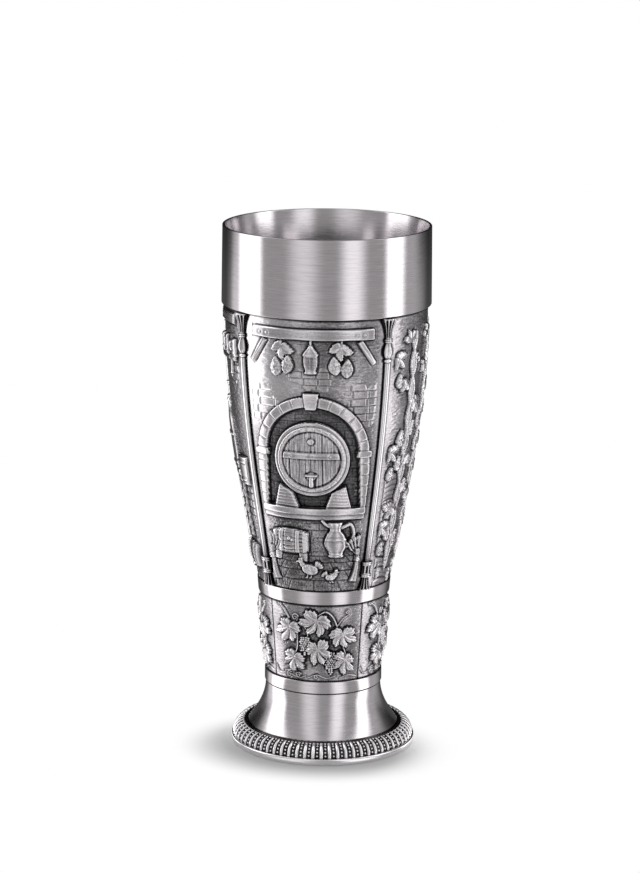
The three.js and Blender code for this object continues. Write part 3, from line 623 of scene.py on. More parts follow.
# Leaf edges: angle from the tip, and distance from the stalk as a share of the leaf's size.
# Veins: angle and length.
VINE_EDGE = (
    (0.0, 1.0), (0.08, 0.9), (0.15, 0.94), (0.24, 0.8), (0.31, 0.78), (0.38, 0.5), (0.42, 0.42),
    (0.46, 0.5), (0.52, 0.8), (0.6, 0.8), (0.68, 0.93), (0.8, 1.0), (0.92, 0.86), (1.02, 0.9),
    (1.14, 0.76), (1.22, 0.62), (1.28, 0.56), (1.34, 0.68), (1.46, 0.78), (1.6, 0.72), (1.74, 0.84),
    (1.9, 0.68), (2.04, 0.72), (2.24, 0.56), (2.44, 0.6), (2.62, 0.46), (2.8, 0.42), (3.0, 0.24),
    (np.pi, 0.1),
)
VINE_VEINS = ((0.0, 1.0), (0.8, 0.94), (1.72, 0.74))
HOP_EDGE = (
    (0.0, 1.0), (0.1, 0.84), (0.17, 0.88), (0.29, 0.66), (0.36, 0.7), (0.53, 0.46), (0.7, 0.66),
    (0.78, 0.64), (0.95, 0.82), (1.03, 0.79), (1.2, 0.92), (1.33, 0.74), (1.41, 0.76), (1.62, 0.56),
    (1.75, 0.58), (2.1, 0.42), (2.3, 0.43), (2.75, 0.36), (np.pi, 0.16),
)
HOP_VEINS = ((0.0, 1.0), (1.15, 0.86))


def leaf(relief, x, y, size, turn, form, veins, length=1.0, top=1.2):
    """A toothed leaf whose tip points up before its turn, drawn out by its length: round the stalk's
    end the edge runs straight between the listed points, the face is creased as far as the edge draws
    in, and veins run out to the lobes."""
    back = 0.2 * size
    x, y = x + back * np.sin(turn), y - back * np.cos(turn)
    window, u, v = relief.near(x, y, size * 1.5 + 2, turn)
    v = v / length
    r, angle = np.hypot(u, v), np.arctan2(u, v)
    side = np.clip(np.abs(angle + 0.16 * np.sin(r / size * 3 + 5 * turn)), 0, np.pi)
    angles, shares = np.array(form).T
    drawn = np.interp(side, angles, shares)
    edge = 1.2 * size * drawn * (1 + 0.09 * np.sin(2 * angle + 9 * turn))
    share = np.clip(r / edge, 0, 1)
    lobe = drawn - 0.72
    vein = np.zeros(u.shape)
    for where, reach in veins:
        away = side - where
        apart = np.abs(away)
        on = (np.cos(away) > 0) & (r < 1.05 * size * reach)
        vein = np.maximum(vein, np.where(on, ridge(r * np.sin(away), 0.05 * size), 0))
        barb = ridge(np.sin((r / size * 4.2 - apart * 2.6) * np.pi), 0.3) * smooth(0.42, 0.12, apart)
        vein = np.maximum(vein, np.where(on, 0.45 * barb, 0))
    face = top * (0.7 + 0.3 * np.sin(np.pi * (0.15 + 0.75 * share))) + 0.9 * lobe * share + 0.34 * vein
    relief.lay(window, (r - edge) * 0.75, face)


def vine_leaf(relief, x, y, size, turn, length):
    """A leaf of five lobes."""
    leaf(relief, x, y, size, turn, VINE_EDGE, VINE_VEINS, length)


def hop_leaf(relief, x, y, size, turn):
    """A leaf of three lobes."""
    leaf(relief, x, y, size, turn, HOP_EDGE, HOP_VEINS)


def grape_bunch(relief, x, y, length, radius, top=1.3):
    """Half balls in close staggered rows that narrow towards the tip, each a little out of line."""
    bead = 0.52
    rows = int(length / (1.5 * bead))
    for row in range(rows):
        down = row / (rows - 1)
        v = length * (0.45 - 0.9 * down)
        wide = radius * np.sin(np.pi * (0.22 + 0.76 * down)) ** 0.8
        count = max(1, int(round(2 * wide / (1.75 * bead))) - row % 2)
        for k, u in enumerate((np.arange(count) - (count - 1) / 2) * 1.75 * bead):
            out = 0.2 * bead * np.sin(5.1 * row + 3.7 * k)
            size = bead * (1 + 0.16 * np.sin(7.3 * row + 2.9 * k))
            relief.blob(x + u, y + v + out, size, size, 0, top - 0.25 * abs(u) / radius, 0.2, 0.2)
    window, u, v = relief.near(x, y, length / 2 + 1)
    relief.tone[window] += 0.16 * smooth(1.1, 0.8, np.hypot(u / radius, v / length * 2))


def curl(relief, x, y, size, turn, sense=1, turns=1.35, width=0.34, top=0.62):
    """A tendril: a spiral whose radius shrinks with its angle."""
    t = np.linspace(0, 1, 26)
    radius = size * (1 - 0.86 * t)
    angle = turn + sense * TAU * turns * t
    start = np.array([x, y]) - size * np.array([np.cos(turn), np.sin(turn)])
    points = np.stack([radius * np.cos(angle), radius * np.sin(angle)], 1) + start
    relief.stroke(points, width, width * 0.7, top, 0.2, 44)


def hop_cone(relief, x, y, length, radius, turn=0.0, top=1.45):
    """A hanging cone: an egg whose face is tiled with bracts, each row staggered on the last, rising to
    its lower edge and cut round by a scalloped line."""
    window, u, v = relief.near(x, y, length * 0.7 + 2, turn)
    share = v / length + 0.5
    half = radius * np.sin(np.pi * np.clip(share, 0, 1) ** 0.8) ** 0.7 + 1e-3
    tile, row_tall = 0.62 * radius, 0.2 * length
    across = np.arcsin(np.clip(u / half, -1, 1)) * half / 1.2
    scallop = 0.5 * row_tall * (2 * np.abs((across / tile) % 1 - 0.5)) ** 2
    row = np.floor((v - scallop) / row_tall)
    across = across / tile + 0.5 * (row % 2)
    drop = 0.45 * row_tall * (2 * np.abs(across % 1 - 0.5)) ** 2
    within = ((v - drop) / row_tall) % 1
    face = top * (0.3 + 0.7 * bulge(u, half)) + 0.66 * (1 - within) * smooth(0, 0.18, within) - 0.4
    relief.lay(window, np.maximum(np.abs(u) - half, np.abs(v) - length / 2), face)


def keg(relief, x, y, length, radius, turn=0.0, top=1.75, hoops=(-0.82, -0.45, 0.45, 0.82)):
    """A lying keg: the half width falls with the square of the way from its middle; staves and hoops
    follow its round."""
    window, u, v = relief.near(x, y, length * 0.6 + 2, turn)
    along = u / (length / 2)
    half = radius * (1 - 0.2 * along ** 2)
    joint = ridge(off_line(np.arcsin(np.clip(v / half, -1, 1)) / 0.38), 0.13)
    face = top * (0.3 + 0.7 * bulge(v, half)) - 0.42 * joint + 0.7 * wood(u, v)
    for place in hoops:
        away = np.abs(along - place)
        face = face + 0.36 * smooth(0.11, 0.08, away) * (1 + joint) - 0.3 * ridge(away - 0.14, 0.04)
    relief.lay(window, np.maximum(np.abs(v) - half, np.abs(u) - length / 2), face)


def cask_head(relief, x, y, radius, top=1.7):
    """A cask's head: belly behind, round chime, boards let in below it, cross batten, bung and tap."""
    window, u, v = relief.near(x, y, radius + 5)
    r, angle = np.hypot(u, v), np.arctan2(v, u)
    relief.lay(window, r - radius - 1.7, 0.95 - 0.3 * smooth(radius, radius + 1.7, r))
    stave, board = TAU / 26, radius / 3.1
    gap = ridge(off_line(angle / stave) * stave * radius, 0.22)
    chime = top * (0.75 + 0.25 * bulge(r - radius + 0.9, 0.95)) - 0.3 * gap
    relief.lay(window, r - radius, chime)
    seam = ridge(off_line(u / board) * board, 0.2)
    face = 1.05 + 0.25 * (1 - (r / radius) ** 2) - 0.42 * seam + wood(v, u)
    relief.lay(window, r - radius + 1.8, face, 0.0)
    relief.score(window, r - radius + 2.0, 0.34, 0.55)
    batten = np.maximum(np.abs(v - 0.12 * radius) - 1.25, r - radius + 2.4)
    relief.lay(window, batten, 1.85 + 0.12 * bulge(v - 0.12 * radius, 1.25) + 0.8 * wood(u, v), 0.25)
    for side in (-0.55, 0, 0.55):
        relief.blob(x + side * radius, y + 0.12 * radius, 0.5, 0.5, 0, 2.15, 0.6, 0.15)
    relief.blob(x, y + 0.55 * radius, 1.25, 1.25, 0, 1.9, 0.7, 0.4)
    tap_y = y - 0.52 * radius
    relief.blob(x, tap_y, 1.7, 1.7, 0, 2.0, 0.6, 0.4)
    relief.stroke([(x, tap_y), (x, tap_y - 3.4)], 0.8, 1.05, 2.3, 0.3)
    relief.stroke([(x - 1.7, tap_y + 0.5), (x + 1.7, tap_y + 0.5)], 0.55, 0.55, 2.4, 0.3)


def arch(relief, x, y, inner, width, leg, stones=13, top=1.15, sink=0.5):
    """A round-headed niche: sunk inside, with wedge stones round the head and blocks down the legs."""
    window, u, v = relief.near(x, y, inner + width + leg)
    r, angle = np.hypot(u, v), np.arctan2(v, u)
    head = np.where(v > 0, r, np.abs(u))
    bottom = -v - leg
    hollow = np.maximum(head - inner, bottom)
    inside = smooth(0.3, -0.5, hollow)
    joint = bond(u, v, 3.1, 6.4, (0.2, 0.22))
    relief.height[window] -= inside * (sink + 0.13 * joint)
    relief.bury(window, 1 - 0.4 * inside)
    relief.tone[window] -= 0.06 * inside
    wedge, course = np.pi / stones, 4.4
    wedges = ridge(off_line(angle / wedge) * wedge * inner, 0.26)
    seam = np.where(v > 0, wedges, ridge(off_line(v / course) * course, 0.26))
    band = np.maximum(np.abs(head - inner - width / 2) - width / 2, bottom)
    pillow = bulge(head - inner - width / 2, width * 0.62)
    relief.lay(window, band, top * (0.66 + 0.34 * pillow) - 0.42 * seam)
    low, high = inner - 0.9, inner + width + 1.2
    key = outline(u, v, [(-2.0, low), (2.0, low), (2.9, high), (-2.9, high)])
    relief.lay(window, key, top + 0.45)
    for side in (-1, 1):
        cap = np.maximum(np.abs(u - side * (inner + width / 2)) - width / 2 - 0.8, np.abs(v + 0.4) - 1.2)
        relief.lay(window, cap, top + 0.35 * bulge(v + 0.4, 1.4))


def vessel(relief, x, y, height, profile, top=1.8, rings=()):
    """A turned pot: the half width comes from a smooth line through its profile, and the face is round."""
    line = through([(w, h * height) for h, w in profile], 90)
    window, u, v = relief.near(x, y + height / 2, height)
    v = v + height / 2
    half = np.interp(v, line[:, 1], line[:, 0])
    face = top * (0.25 + 0.75 * bulge(u, np.maximum(half, 0.1)))
    for level in rings:
        away = np.abs(v - level * height)
        face = face + 0.36 * ridge(away, 0.4) - 0.16 * ridge(away - 0.9, 0.3)
    relief.lay(window, np.maximum(np.abs(u) - half, np.maximum(-v, v - height)), face)


def jug(relief, x, y, height, radius):
    """A bellied jug with a strap handle and a spout."""
    grip = [(0.55, 0.86), (1.35, 0.94), (1.62, 0.66), (1.3, 0.36), (0.8, 0.28)]
    relief.stroke([(x + radius * a, y + height * b) for a, b in grip], 0.75, 0.55, 1.25)
    spout = [(0.35, 0.88), (0.85, 0.97), (1.12, 1.06)]
    relief.stroke([(x - radius * a, y + height * b) for a, b in spout], 0.9, 0.5, 1.3)
    shape = [
        (0, 0.62), (0.04, 0.7), (0.1, 0.6), (0.38, 1), (0.62, 0.82), (0.78, 0.5), (0.9, 0.52), (1, 0.66),
    ]
    vessel(relief, x, y, height, [(h, w * radius) for h, w in shape], 1.8, (0.1, 0.52, 0.8))


def sheaf(relief, x, y, height, radius, turn=0.0, ears=9):
    """Corn stalks tied at the waist, with grooves that fan out and ears of paired grains on top."""
    c, s = np.cos(turn), np.sin(turn)
    leans = np.linspace(1, -1, ears)
    for lean in leans[np.argsort(-np.abs(leans), kind="stable")]:
        tilt = turn + 0.62 * lean
        stem = height * (0.40 - 0.05 * abs(lean))
        fx, fy = -np.sin(tilt) * stem, np.cos(tilt) * stem
        ax, ay = x - s * height * 0.06, y + c * height * 0.06
        relief.stroke([(ax + 0.2 * fx, ay + 0.2 * fy), (ax + fx, ay + fy)], 0.5, 0.4, 1.1, 0.25)
        for g in range(5):
            reach = stem * (0.8 + 0.13 * g)
            for side in (-1, 1):
                px = ax - np.sin(tilt) * reach + side * np.cos(tilt) * 0.55
                py = ay + np.cos(tilt) * reach + side * np.sin(tilt) * 0.55
                relief.blob(px, py, 0.5, 0.95, tilt - side * 0.35, 1.5, 0.4, 0.2)
    window, u, v = relief.near(x, y, height * 0.62, turn)
    rise = v / height
    half = radius * (0.36 + 2.4 * (rise - 0.06) ** 2)
    half = np.where(rise < 0.06, radius * (0.36 + 1.75 * (rise - 0.06) ** 2), half)
    stalk = np.sin(u / np.maximum(half, 0.2) * 13)
    face = 1.35 * (0.4 + 0.6 * bulge(u, half * 1.05)) + 0.2 * stalk
    relief.lay(window, np.maximum(np.abs(u) - half, np.maximum(v - 0.3 * height, -v - 0.5 * height)), face)
    tie = np.maximum(np.abs(v - 0.06 * height) - 1.0, np.abs(u) - radius * 0.46)
    relief.lay(window, tie, 1.95 + 0.2 * np.sin((u + v) * 4))


def hen(relief, x, y, size, facing=1):
    """A hen at the peck: a rounded body, fanned tail, neck, comb and legs."""

    def at(ahead, up):
        return x + facing * ahead * size, y + up * size

    for reach in (-0.1, 0.28):
        leg = at(reach, -0.35), at(reach + 0.02, -0.92), at(reach + 0.2, -0.98)
        relief.stroke(leg, 0.24, 0.2, 0.8, 0.2)
    for lift in (0.25, 0.6, 0.95, 1.3):
        tip = at(-0.5 - 0.75 * np.cos(lift), 0.1 + 0.75 * np.sin(lift))
        relief.stroke([at(-0.5, 0.1), tip], 0.4, 0.62, 1.2, 0.25)
    relief.stroke([at(0.45, 0.1), at(0.82, 0.55), at(0.95, 0.86)], 1.3, 0.66, 1.55, 0.3)
    relief.blob(x, y, 0.86 * size, 0.6 * size, 0.22 * facing, 1.9, 0.4)
    window, u, v = relief.near(x, y, size, 0.22 * facing)
    for k in range(3):
        away = np.hypot(u * facing + 0.1 * size, v - 0.25 * size) - (0.36 + 0.16 * k) * size
        relief.score(window, np.where(v < 0.42 * size, away, 9), 0.2, 0.3)
    relief.blob(*at(1.0, 0.92), 0.26 * size, 0.24 * size, 0, 1.7, 0.5, 0.2)
    for k in range(3):
        relief.blob(*at(1.12 - 0.14 * k, 1.18), 0.34, 0.5, 0, 1.5, 0.5, 0.15)
    relief.stroke([at(1.16, 0.92), at(1.46, 0.82)], 0.36, 0.14, 1.4, 0.15)


def flagstones(relief, level, depth=0.3):
    """A paved floor: rows that close up towards the back, joints staggered by row."""
    window = slice(0, np.searchsorted(relief.up, level)), slice(None)
    x, y = relief.x[window], relief.y[window]
    back = 1 - np.clip(y / level, 0, 1)
    course = 5.2 * (1 - np.sqrt(back * 0.94 + 0.06)) / (1 - np.sqrt(0.06))
    row = np.floor(course)
    slab = x / (4.2 + 6.5 * back) + 0.5 * (row % 2) + 0.13 * np.sin(row * 5.1)
    joint = np.maximum(ridge(off_line(course) * 3.0, 0.2), ridge(off_line(slab) * 7.0, 0.22))
    worn = 0.07 * np.sin(x * 0.9 + row * 2.2) * np.cos(y * 1.1 + row)
    edge = smooth(level, level - 1.2, y)
    relief.height[window] += edge * (0.26 + worn - depth * joint)
    relief.bury(window, 1 - 0.6 * edge)
    relief.tone[window] -= 0.1 * edge


def stonework(relief, x, y, wide, tall, course=3.0, length=6.5, depth=0.16, lift=0.2, seed=0.0):
    """A bare patch of wall: stones in courses showing inside a ragged oval."""
    window, u, v = relief.near(x, y, max(wide, tall) + 2)
    angle = np.arctan2(v, u)
    ragged = 1 + 0.16 * np.sin(angle * 5 + seed) + 0.1 * np.sin(angle * 11 + 2 * seed)
    inside = smooth(1.0, 0.84, np.hypot(u / wide, v / tall) / ragged)
    shift = 0.2 * np.sin(np.floor(v / course) * 3.3 + seed)
    joint = bond(u, v, course, length, (0.26, 0.28), shift)
    relief.height[window] += inside * (lift - (depth + lift) * joint)
    relief.bury(window, 1 - 0.6 * inside)


def block(relief, corners, top, groove=GROOVE, grain=0.0):
    """A flat-topped shape of straight sides, with fine wood or tool lines where it has a grain."""
    points = np.asarray(corners, float)
    middle, reach = (points.min(0) + points.max(0)) / 2, np.ptp(points, axis=0).max() / 2 + 3
    window, u, v = relief.near(middle[0], middle[1], reach)
    away = outline(u, v, points - middle)
    face = top - 0.22 * smooth(-0.7, 0, away) + grain * np.sin(v * 5 + 0.9 * np.sin(u * 0.5))
    relief.lay(window, away, face, groove)


def oblong(relief, left, low, right, high, top, groove=GROOVE, grain=0.0):
    """A level block between two opposite corners."""
    block(relief, [(left, low), (right, low), (right, high), (left, high)], top, groove, grain)


def wood(u, v):
    """Grain: fine waves across the timber that wander along it."""
    wide = np.sin(4.1 * v - 0.6 * np.sin(0.5 * u))
    return 0.13 * np.sin(7 * v + 0.9 * np.sin(0.35 * u) + 1.7 * np.sin(1.9 * v)) + 0.09 * wide


def timber(relief, start, end, width, top):
    """A squared timber between two places, its edges worn and its grain along it."""
    run = np.subtract(end, start)
    middle, reach = np.add(start, end) / 2, np.hypot(*run) / 2
    window, u, v = relief.near(*middle, reach + width, np.arctan2(run[1], run[0]))
    away = np.maximum(np.abs(u) - reach, np.abs(v) - width / 2)
    relief.lay(window, away, top - 0.28 * smooth(-0.6, 0, away) + wood(u, v))


def lantern(relief, x, y, height, radius):
    """A hanging lantern: a glazed body with upright bars under a pointed lid, on a hook."""
    relief.stroke([(x, y + height * 0.46), (x, y + height * 0.68)], 0.4, 0.4, 1.1, 0.25)
    shape = [
        (0, 0.75), (0.06, 0.85), (0.1, 0.72), (0.34, 0.96), (0.62, 0.98), (0.66, 1.06), (0.72, 0.98),
        (0.95, 0.3), (1, 0.3),
    ]
    vessel(relief, x, y - height / 2, height, [(h, w * radius) for h, w in shape], 1.45, (0.06, 0.66, 0.95))
    window, u, v = relief.near(x, y, height)
    pane = np.abs(v + 0.12 * height) < 0.22 * height
    for bar in (-0.55, 0.0, 0.55):
        relief.height[window] += np.where(pane, 0.3 * ridge(u - bar * radius, 0.22), 0)
    relief.tone[window] -= 0.22 * np.where(pane & (np.abs(u) < 0.85 * radius), 1, 0)


def hop_spray(relief, across, up, side):
    """A sprig hung from a beam: one leaf with cones about it on thin stalks."""

    def at(beside, over):
        return relief.spot(across + beside * side, up + over)

    relief.stroke([at(0.02, 0.045), at(0, 0), at(-0.07, -0.03)], 0.4, 0.3, 0.8, 0.2)
    relief.stroke([at(0, 0.01), at(0.07, -0.02)], 0.34, 0.28, 0.8, 0.2)
    for shift, drop, tilt in ((-0.07, 0.055, 0.12), (0.085, 0.065, -0.1)):
        hop_cone(relief, *at(shift, -drop), 7.2, 2.4, tilt * side)
    hop_leaf(relief, *at(0, 0), 4.6, np.pi)


def cellar(relief):
    """Front: a cask in a niche under a beam with hops and a lantern, over a keg, jug, sheaves and hens."""
    # Plaster at the upper left: smoother ground, whose lighter tone is also a painted highlight standing
    # for the reflection of the left light strip there.
    plaster_and_highlight = smooth(2, -16, relief.x) * smooth(56, 80, relief.y)
    relief.tone += 0.26 * plaster_and_highlight
    relief.bare *= 1 - 0.5 * plaster_and_highlight
    flagstones(relief, 17)
    stonework(relief, -20, 74, 7.5, 9, seed=1.0)
    stonework(relief, 20.5, 75, 7, 10, seed=4.2)
    stonework(relief, 1, 86, 9, 5, course=2.6, length=5.4, seed=5.3)
    stonework(relief, 20.5, 42, 4, 6, seed=2.2)
    stonework(relief, 2.5, 25.5, 5, 3.4, seed=3.1)
    arch(relief, *relief.spot(0, 0.52), 18.5, 4, 22)
    x, y = relief.spot(0, 0.5)
    for side in (-1, 1):
        wedge = [(15, 34.5), (5, 34.5), (7.5, 41), (13, 43.5)]
        block(relief, [(side * px, py) for px, py in wedge], 1.0, grain=0.14)
    cask_head(relief, x, y, 13)
    oblong(relief, -24.5, 31.6, 24.5, 34.6, 1.45)
    oblong(relief, -23.4, 29.8, 23.4, 31.6, 0.9)
    x, y = relief.spot(-0.4, 0.19)
    for side in (-1, 1):
        foot = [(7, -8), (4, -8), (3.4, -3), (6.6, -3)]
        block(relief, [(x + side * px, y + py) for px, py in foot], 1.0, grain=0.06)
    keg(relief, x, y, 15, 5)
    relief.blob(x, y + 1.2, 0.8, 0.8, 0, 2.1, 0.6, 0.3)
    x, y = relief.spot(0.38, 0.2)
    jug(relief, x, y - 7, 14, 4.4)
    hen(relief, -1.2, 9.4, 3.6, -1)
    hen(relief, 6.4, 6.4, 2.3, 1)
    beam = relief.spot(0, 0.946)[1]
    lantern(relief, 0, 0.86 * relief.tall, 11, 2.8)
    for side in (-1, 1):
        x, y = relief.spot(0.82 * side, 0.115)
        sheaf(relief, x, y, 17, 3.8, -0.1 * side, 7)
        x, y = relief.spot(0.82 * side, 0.84)
        timber(relief, (x, y), (x - 6 * side, y + 9), 2.2, 1.0)
        hop_spray(relief, 0.37 * side, 0.895, side)
    timber(relief, (-24.5, beam), (24.5, beam), 4, 1.35)
    for px in (-20.5, -17.5, 17.5, 20.5):
        relief.blob(px, beam, 0.55, 0.55, 0, 1.75, 0.6, 0.15)


def brewhouse(relief):
    """Left: a brick hearth and kettle, mugs on a shelf and kegs on the flags."""
    flagstones(relief, 18.5)
    stonework(relief, 19, 30, 6, 8, seed=0.4)
    stonework(relief, -20, 72, 6, 9, seed=1.7)
    stonework(relief, 22, 84, 5, 4, seed=2.9)
    x, y = relief.spot(0, 0.28)
    window, u, v = relief.near(x, y, 24)
    half, tall, hole = 15, 12, 8
    joint = bond(u, v + tall, 3, 5.2, (0.24, 0.24))
    relief.lay(window, np.maximum(np.abs(u) - half, np.abs(v) - tall), 1.05 - 0.34 * joint)
    mouth = np.maximum(np.where(v > 2, np.hypot(u, v - 2), np.abs(u)) - hole, -v - tall)
    relief.lay(window, mouth - 1.7, 1.3 - 0.4 * ridge(np.sin(np.arctan2(v - 2, u) * 9), 0.25), 0.2)
    relief.lay(window, mouth, -0.55, 0.0)
    for side, high in ((-5, 5.5), (-2.6, 8.4), (0.2, 11), (3.0, 8), (5.4, 5)):
        root = y - tall + 3
        flame = (x + side, root), (x + side + 0.9, root + high * 0.5), (x + side - 0.3, root + high)
        relief.stroke(flame, 1.25, 0.2, 0.75, 0.1)
    for k, lean in enumerate((0.16, -0.12)):
        across, rise, middle = 6.6 * np.cos(lean), 6 * np.sin(lean), y - tall + 1.6 + k
        relief.stroke([(x - across, middle - rise), (x + across, middle + rise)], 1.2, 1.1, 1.0, 0.25)
    x, y = relief.spot(0, 0.395)
    oblong(relief, x - 16, y - 1.2, x + 16, y + 1.4, 1.5)
    x, y = relief.spot(0, 0.53)
    relief.stroke([(x, y + 12), (x, y + 45)], 2.1, 2.1, 1.3)
    for lift in (17.5, 30.5, 43):
        oblong(relief, x - 2.9, y + lift, x + 2.9, y + lift + 1.5, 1.7)
    pot = [(0, 11), (0.06, 11.4), (0.33, 13), (0.66, 10.2), (0.84, 3.6), (0.9, 2.9), (1, 2.9)]
    vessel(relief, x, y - 13.5, 27, pot, 1.95, (0.08, 0.5, 0.93))
    for turn in 0.33 * np.arange(-4, 5):
        rivet = 1.0 + 1.5 * np.cos(turn)
        relief.blob(x + 12.2 * np.sin(turn), y - 0.2, 0.45, 0.45, 0, rivet, 0.6, 0.1)
    relief.stroke([(x - 12, y - 5), (x - 15.5, y - 5.5), (x - 16.5, y - 9)], 0.9, 0.75, 1.5)
    vessel(relief, x + 18, y - 18, 11, [(0, 3.6), (0.5, 4.2), (1, 4.7)], 1.5, (0.16, 0.8))
    smoke = (-9, 79, 3.4, 0.4, 1), (-15, 84, 2.8, 2.0, -1), (-4.5, 85, 2.6, 1.0, -1)
    for px, py, size, turn, sense in smoke:
        curl(relief, px, py, size, turn, sense, 1.2, 0.5, 0.5)
    y = 88.5
    oblong(relief, -25, y, 25, y + 1.9, 1.45, grain=0.07)
    for px in (-21, 0, 21):
        relief.stroke([(px, y - 0.2), (px - 0.4, y - 4.2), (px - 1.4, y - 5.4)], 0.7, 0.4, 1.0)
    mug = [(0, 2.3), (0.08, 2.5), (0.16, 2.1), (0.9, 1.9), (1, 2.2)]
    grip = (1.6, 0.8), (3.7, 0.7), (3.5, 0.35), (1.8, 0.22)
    for px, high in ((-23.6, 7.2), (-16.3, 6.6), (-8.8, 7.6), (8.8, 6.8), (16.3, 7.4), (23.6, 6.6)):
        handle = [(px - np.sign(px) * out, y + 2 + high * up) for out, up in grip]
        relief.stroke(handle, 0.5, 0.4, 1.0, 0.2)
        vessel(relief, px, y + 1.9, high, mug, 1.5, (0.2, 0.85))
    timber(relief, (-25, 104.7), (25, 104.7), 4, 1.0)
    keg(relief, *relief.spot(-0.5, 0.1), 15, 5, QUARTER)
    keg(relief, *relief.spot(0.5, 0.1), 15, 5)
    relief.stroke([(-19.2, 20), (-20.5, 34), (-22.4, 52)], 0.5, 0.45, 0.9)
    relief.blob(-19, 19.4, 1.7, 3.0, 0.05, 1.2, 0.6)
    sheaf(relief, 1.0, 9.0, 12, 2.6, 0.5, 5)


def hop_garden(relief):
    """Right: hops climbing their poles before a barn and a kiln on low hills."""
    x, y, spot = relief.x, relief.y, relief.spot
    for level, rise, top in ((42, 3.2, 0.30), (33, -2.4, 0.5), (25, 1.6, 0.34)):
        line = level + rise * np.sin(x * 0.14 + level) + 1.2 * np.sin(x * 0.33)
        relief.lay(EVERYWHERE, (y - line) * 0.9, top, 0.3)
        furrow = 0.6 * np.sin((y - line) * 1.5 + 0.4 * np.sin(x * 0.3))
        relief.score(EVERYWHERE, furrow + 4 * (y > line), 0.3, 0.12)
    for k in range(4):
        line = 2.6 + 4.6 * k + 0.8 * np.sin(x * 0.4 + k)
        relief.score(EVERYWHERE, y - line, 0.4, 0.34)
    bx, by = 3.5, 39.5
    oblong(relief, bx - 7, by, bx + 4, by + 7, 0.8)
    roof = [(bx - 8.2, by + 6.6), (bx + 5, by + 6.6), (bx + 2.6, by + 12), (bx - 6, by + 12)]
    block(relief, roof, 1.05, grain=0.12)
    kiln = [(0, 4.3), (0.48, 4.1), (0.5, 4.6), (0.8, 1.5), (0.82, 2.0), (1, 0.7)]
    vessel(relief, bx + 7.6, by - 0.5, 22, kiln, 1.1, (0.5,))
    oblong(relief, bx - 4, by, bx - 1.4, by + 4.2, 0.2)
    for across in (-0.5, 0.0, 0.5):
        line = [spot(across, up) for up in np.linspace(0.1, 0.9, 9)]
        relief.stroke(line, 0.95, 0.8, 1.0, 0.4)
        climb = [spot(across, up) for up in np.linspace(0.11, 0.93, 30)]
        for phase in (0, np.pi):
            bine = [(px + 1.5 * np.sin(0.9 * py / 3 + phase), py) for px, py in climb]
            relief.stroke(bine, 0.42, 0.36, 1.2, 0.2, 90)
    for across in (-0.5, 0.0, 0.5):
        for up, side in ((0.34, -1), (0.72, 1)):
            lift = up + 0.1 * across
            hop_leaf(relief, *spot(across + 0.14 * side, lift), 4.6, np.pi + 0.5 * side)
            hop_cone(relief, *spot(across - 0.13 * side, lift - 0.12), 7.2, 2.4, 0.1 * side)
            hop_leaf(relief, *spot(across - 0.15 * side, lift + 0.08), 3.4, np.pi - 0.9 * side)
            hop_cone(relief, *spot(across + 0.12 * side, lift - 0.09), 6.0, 2.0, -0.1 * side)
        hop_leaf(relief, *spot(across + 0.1, 0.53 + 0.1 * across), 4.6, 2.4)
        hop_leaf(relief, *spot(across - 0.1, 0.915), 3.6, 0.5)
        hop_cone(relief, *spot(across - 0.12, 0.51 + 0.1 * across), 6.0, 2.0, 0.1)
        curl(relief, *spot(across + 0.16, 0.85), 2.4, 1.2, 1)
    for across, up in ((-0.8, 0.5), (0.8, 0.42), (-0.78, 0.22), (0.78, 0.8), (-0.8, 0.84)):
        hop_leaf(relief, *spot(across, up), 4.6, np.pi - across)
        hop_cone(relief, *spot(across - 0.03 * np.sign(across), up - 0.075), 5.6, 1.9)
    for k, px in enumerate(np.linspace(-19, 19, 10)):
        for lean in (-0.5, -0.15, 0.2, 0.55):
            tall = 3.6 + 1.4 * np.sin(k * 2.3 + lean * 5)
            root = 1.0 + 3 * (k % 3)
            relief.stroke([(px, root), (px + lean * tall * 0.6, root + tall)], 0.42, 0.1, 0.85, 0.12)


